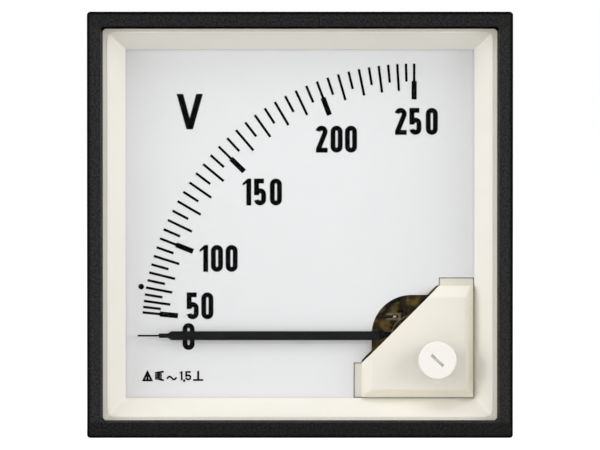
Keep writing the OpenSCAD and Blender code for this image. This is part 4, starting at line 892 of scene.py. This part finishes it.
for node in ("terminal_stud_left", "terminal_stud_right"):
    threadedStud(node)
report("terminals")

floor = {
    "size": 6.0,
    "below": 0.1 * mm,
    "tones": ((0.80, 0.80, 0.80), (0.78, 0.78, 0.78)),
    "patch": 0.4,
    "glow": 0.70,
}


# white to the eye, and an ordinary pale floor to the light
def floorMaterial():
    material = bpy.data.materials.new("paleFloor")
    material.use_nodes = True
    tree = material.node_tree
    tree.nodes.clear()
    drift = spread(tree, noiseField(tree, objectPlace(tree), floor["patch"]), 0.0, 1.0)
    matt = addNode(tree, "ShaderNodeBsdfDiffuse")
    tree.links.new(blendTones(tree, drift, *floor["tones"]), matt.inputs["Color"])
    rays = addNode(tree, "ShaderNodeLightPath").outputs
    shown = compute(tree, "MAXIMUM", rays["Is Camera Ray"], rays["Is Glossy Ray"])
    glow = addNode(tree, "ShaderNodeEmission")
    tree.links.new(compute(tree, "MULTIPLY", shown, floor["glow"]), glow.inputs["Strength"])
    both = addNode(tree, "ShaderNodeAddShader")
    tree.links.new(matt.outputs[0], both.inputs[0])
    tree.links.new(glow.outputs[0], both.inputs[1])
    out = addNode(tree, "ShaderNodeOutputMaterial")
    tree.links.new(both.outputs[0], out.inputs["Surface"])
    return material


bm = bmesh.new()
bmesh.ops.create_grid(bm, x_segments=1, y_segments=1, size=floor["size"] / 2)
bmesh.ops.translate(bm, verts=bm.verts, vec=(0, 0, cadLow.z - floor["below"]))
mesh = bpy.data.meshes.new("floor")
bm.to_mesh(mesh)
bm.free()
mesh.materials.append(floorMaterial())
plane = addObject("floor", mesh)

roomLight = 0.40  # on the object; the eye, metal and glass see the room at 1

world = bpy.data.worlds.new("studio")
bpy.context.scene.world = world
world.use_nodes = True
tree = world.node_tree
tree.nodes.clear()
rays = addNode(tree, "ShaderNodeLightPath").outputs
seen = rays["Is Camera Ray"]
for ray in ("Is Glossy Ray", "Is Transmission Ray"):
    seen = compute(tree, "MAXIMUM", seen, rays[ray])
strength = spread(tree, seen, roomLight, 1.0, 0.0, 1.0)
sky = addNode(tree, "ShaderNodeBackground")
sky.inputs["Color"].default_value = (1.0, 1.0, 1.0, 1.0)
tree.links.new(strength, sky.inputs["Strength"])
tree.links.new(sky.outputs[0], addNode(tree, "ShaderNodeOutputWorld").inputs["Surface"])

stageLights = {  # place and size in metres, then power
    "leftLight": ((-0.95, -0.55, 0.15), (0.7, 0.7), 7.2),
    "rightLight": ((0.95, -0.55, 0.15), (0.7, 0.7), 7.7),
    "topLight": ((-0.1, -0.55, 0.95), (0.8, 0.6), 4.6),
    "rearLight": ((0.3, 0.9, 0.8), (0.6, 0.6), 2.0),
}


# a soft rectangular light turned to the origin
def softLight(name, place, size, power):
    lamp = bpy.data.lights.new(name, "AREA")
    lamp.shape = "RECTANGLE"
    lamp.size, lamp.size_y = size
    lamp.energy = power
    holder = addObject(name, lamp)
    holder.location = place
    holder.rotation_mode = "QUATERNION"
    holder.rotation_quaternion = (-Vector(place)).to_track_quat("-Z", "Y")


for name, (place, size, power) in stageLights.items():
    softLight(name, place, size, power)

stageCamera = {
    "elevation": 1.7,  # degrees
    "distance": 2.7,
    "frameWidth": 135.2113 * mm,  # of the view at the front of the bezel
    "sensor": 36.0,
    "clip": (0.05, 50.0),
}
cameraData = bpy.data.cameras.new("camera")
camera = addObject("camera", cameraData)
bpy.context.scene.camera = camera
rise = math.radians(stageCamera["elevation"])
aim = Vector((0, cadLow.y, (cadLow.z + cadHigh.z) / 2))
away = Vector((0, -math.cos(rise), math.sin(rise)))
camera.location = aim + away * stageCamera["distance"]
camera.rotation_mode = "QUATERNION"
camera.rotation_quaternion = (-away).to_track_quat("-Z", "Y")
cameraData.sensor_width = stageCamera["sensor"]
cameraData.lens = stageCamera["sensor"] * stageCamera["distance"] / stageCamera["frameWidth"]
cameraData.clip_start, cameraData.clip_end = stageCamera["clip"]
bpy.context.scene.view_settings.view_transform = "Standard"
report("stage, light and camera")
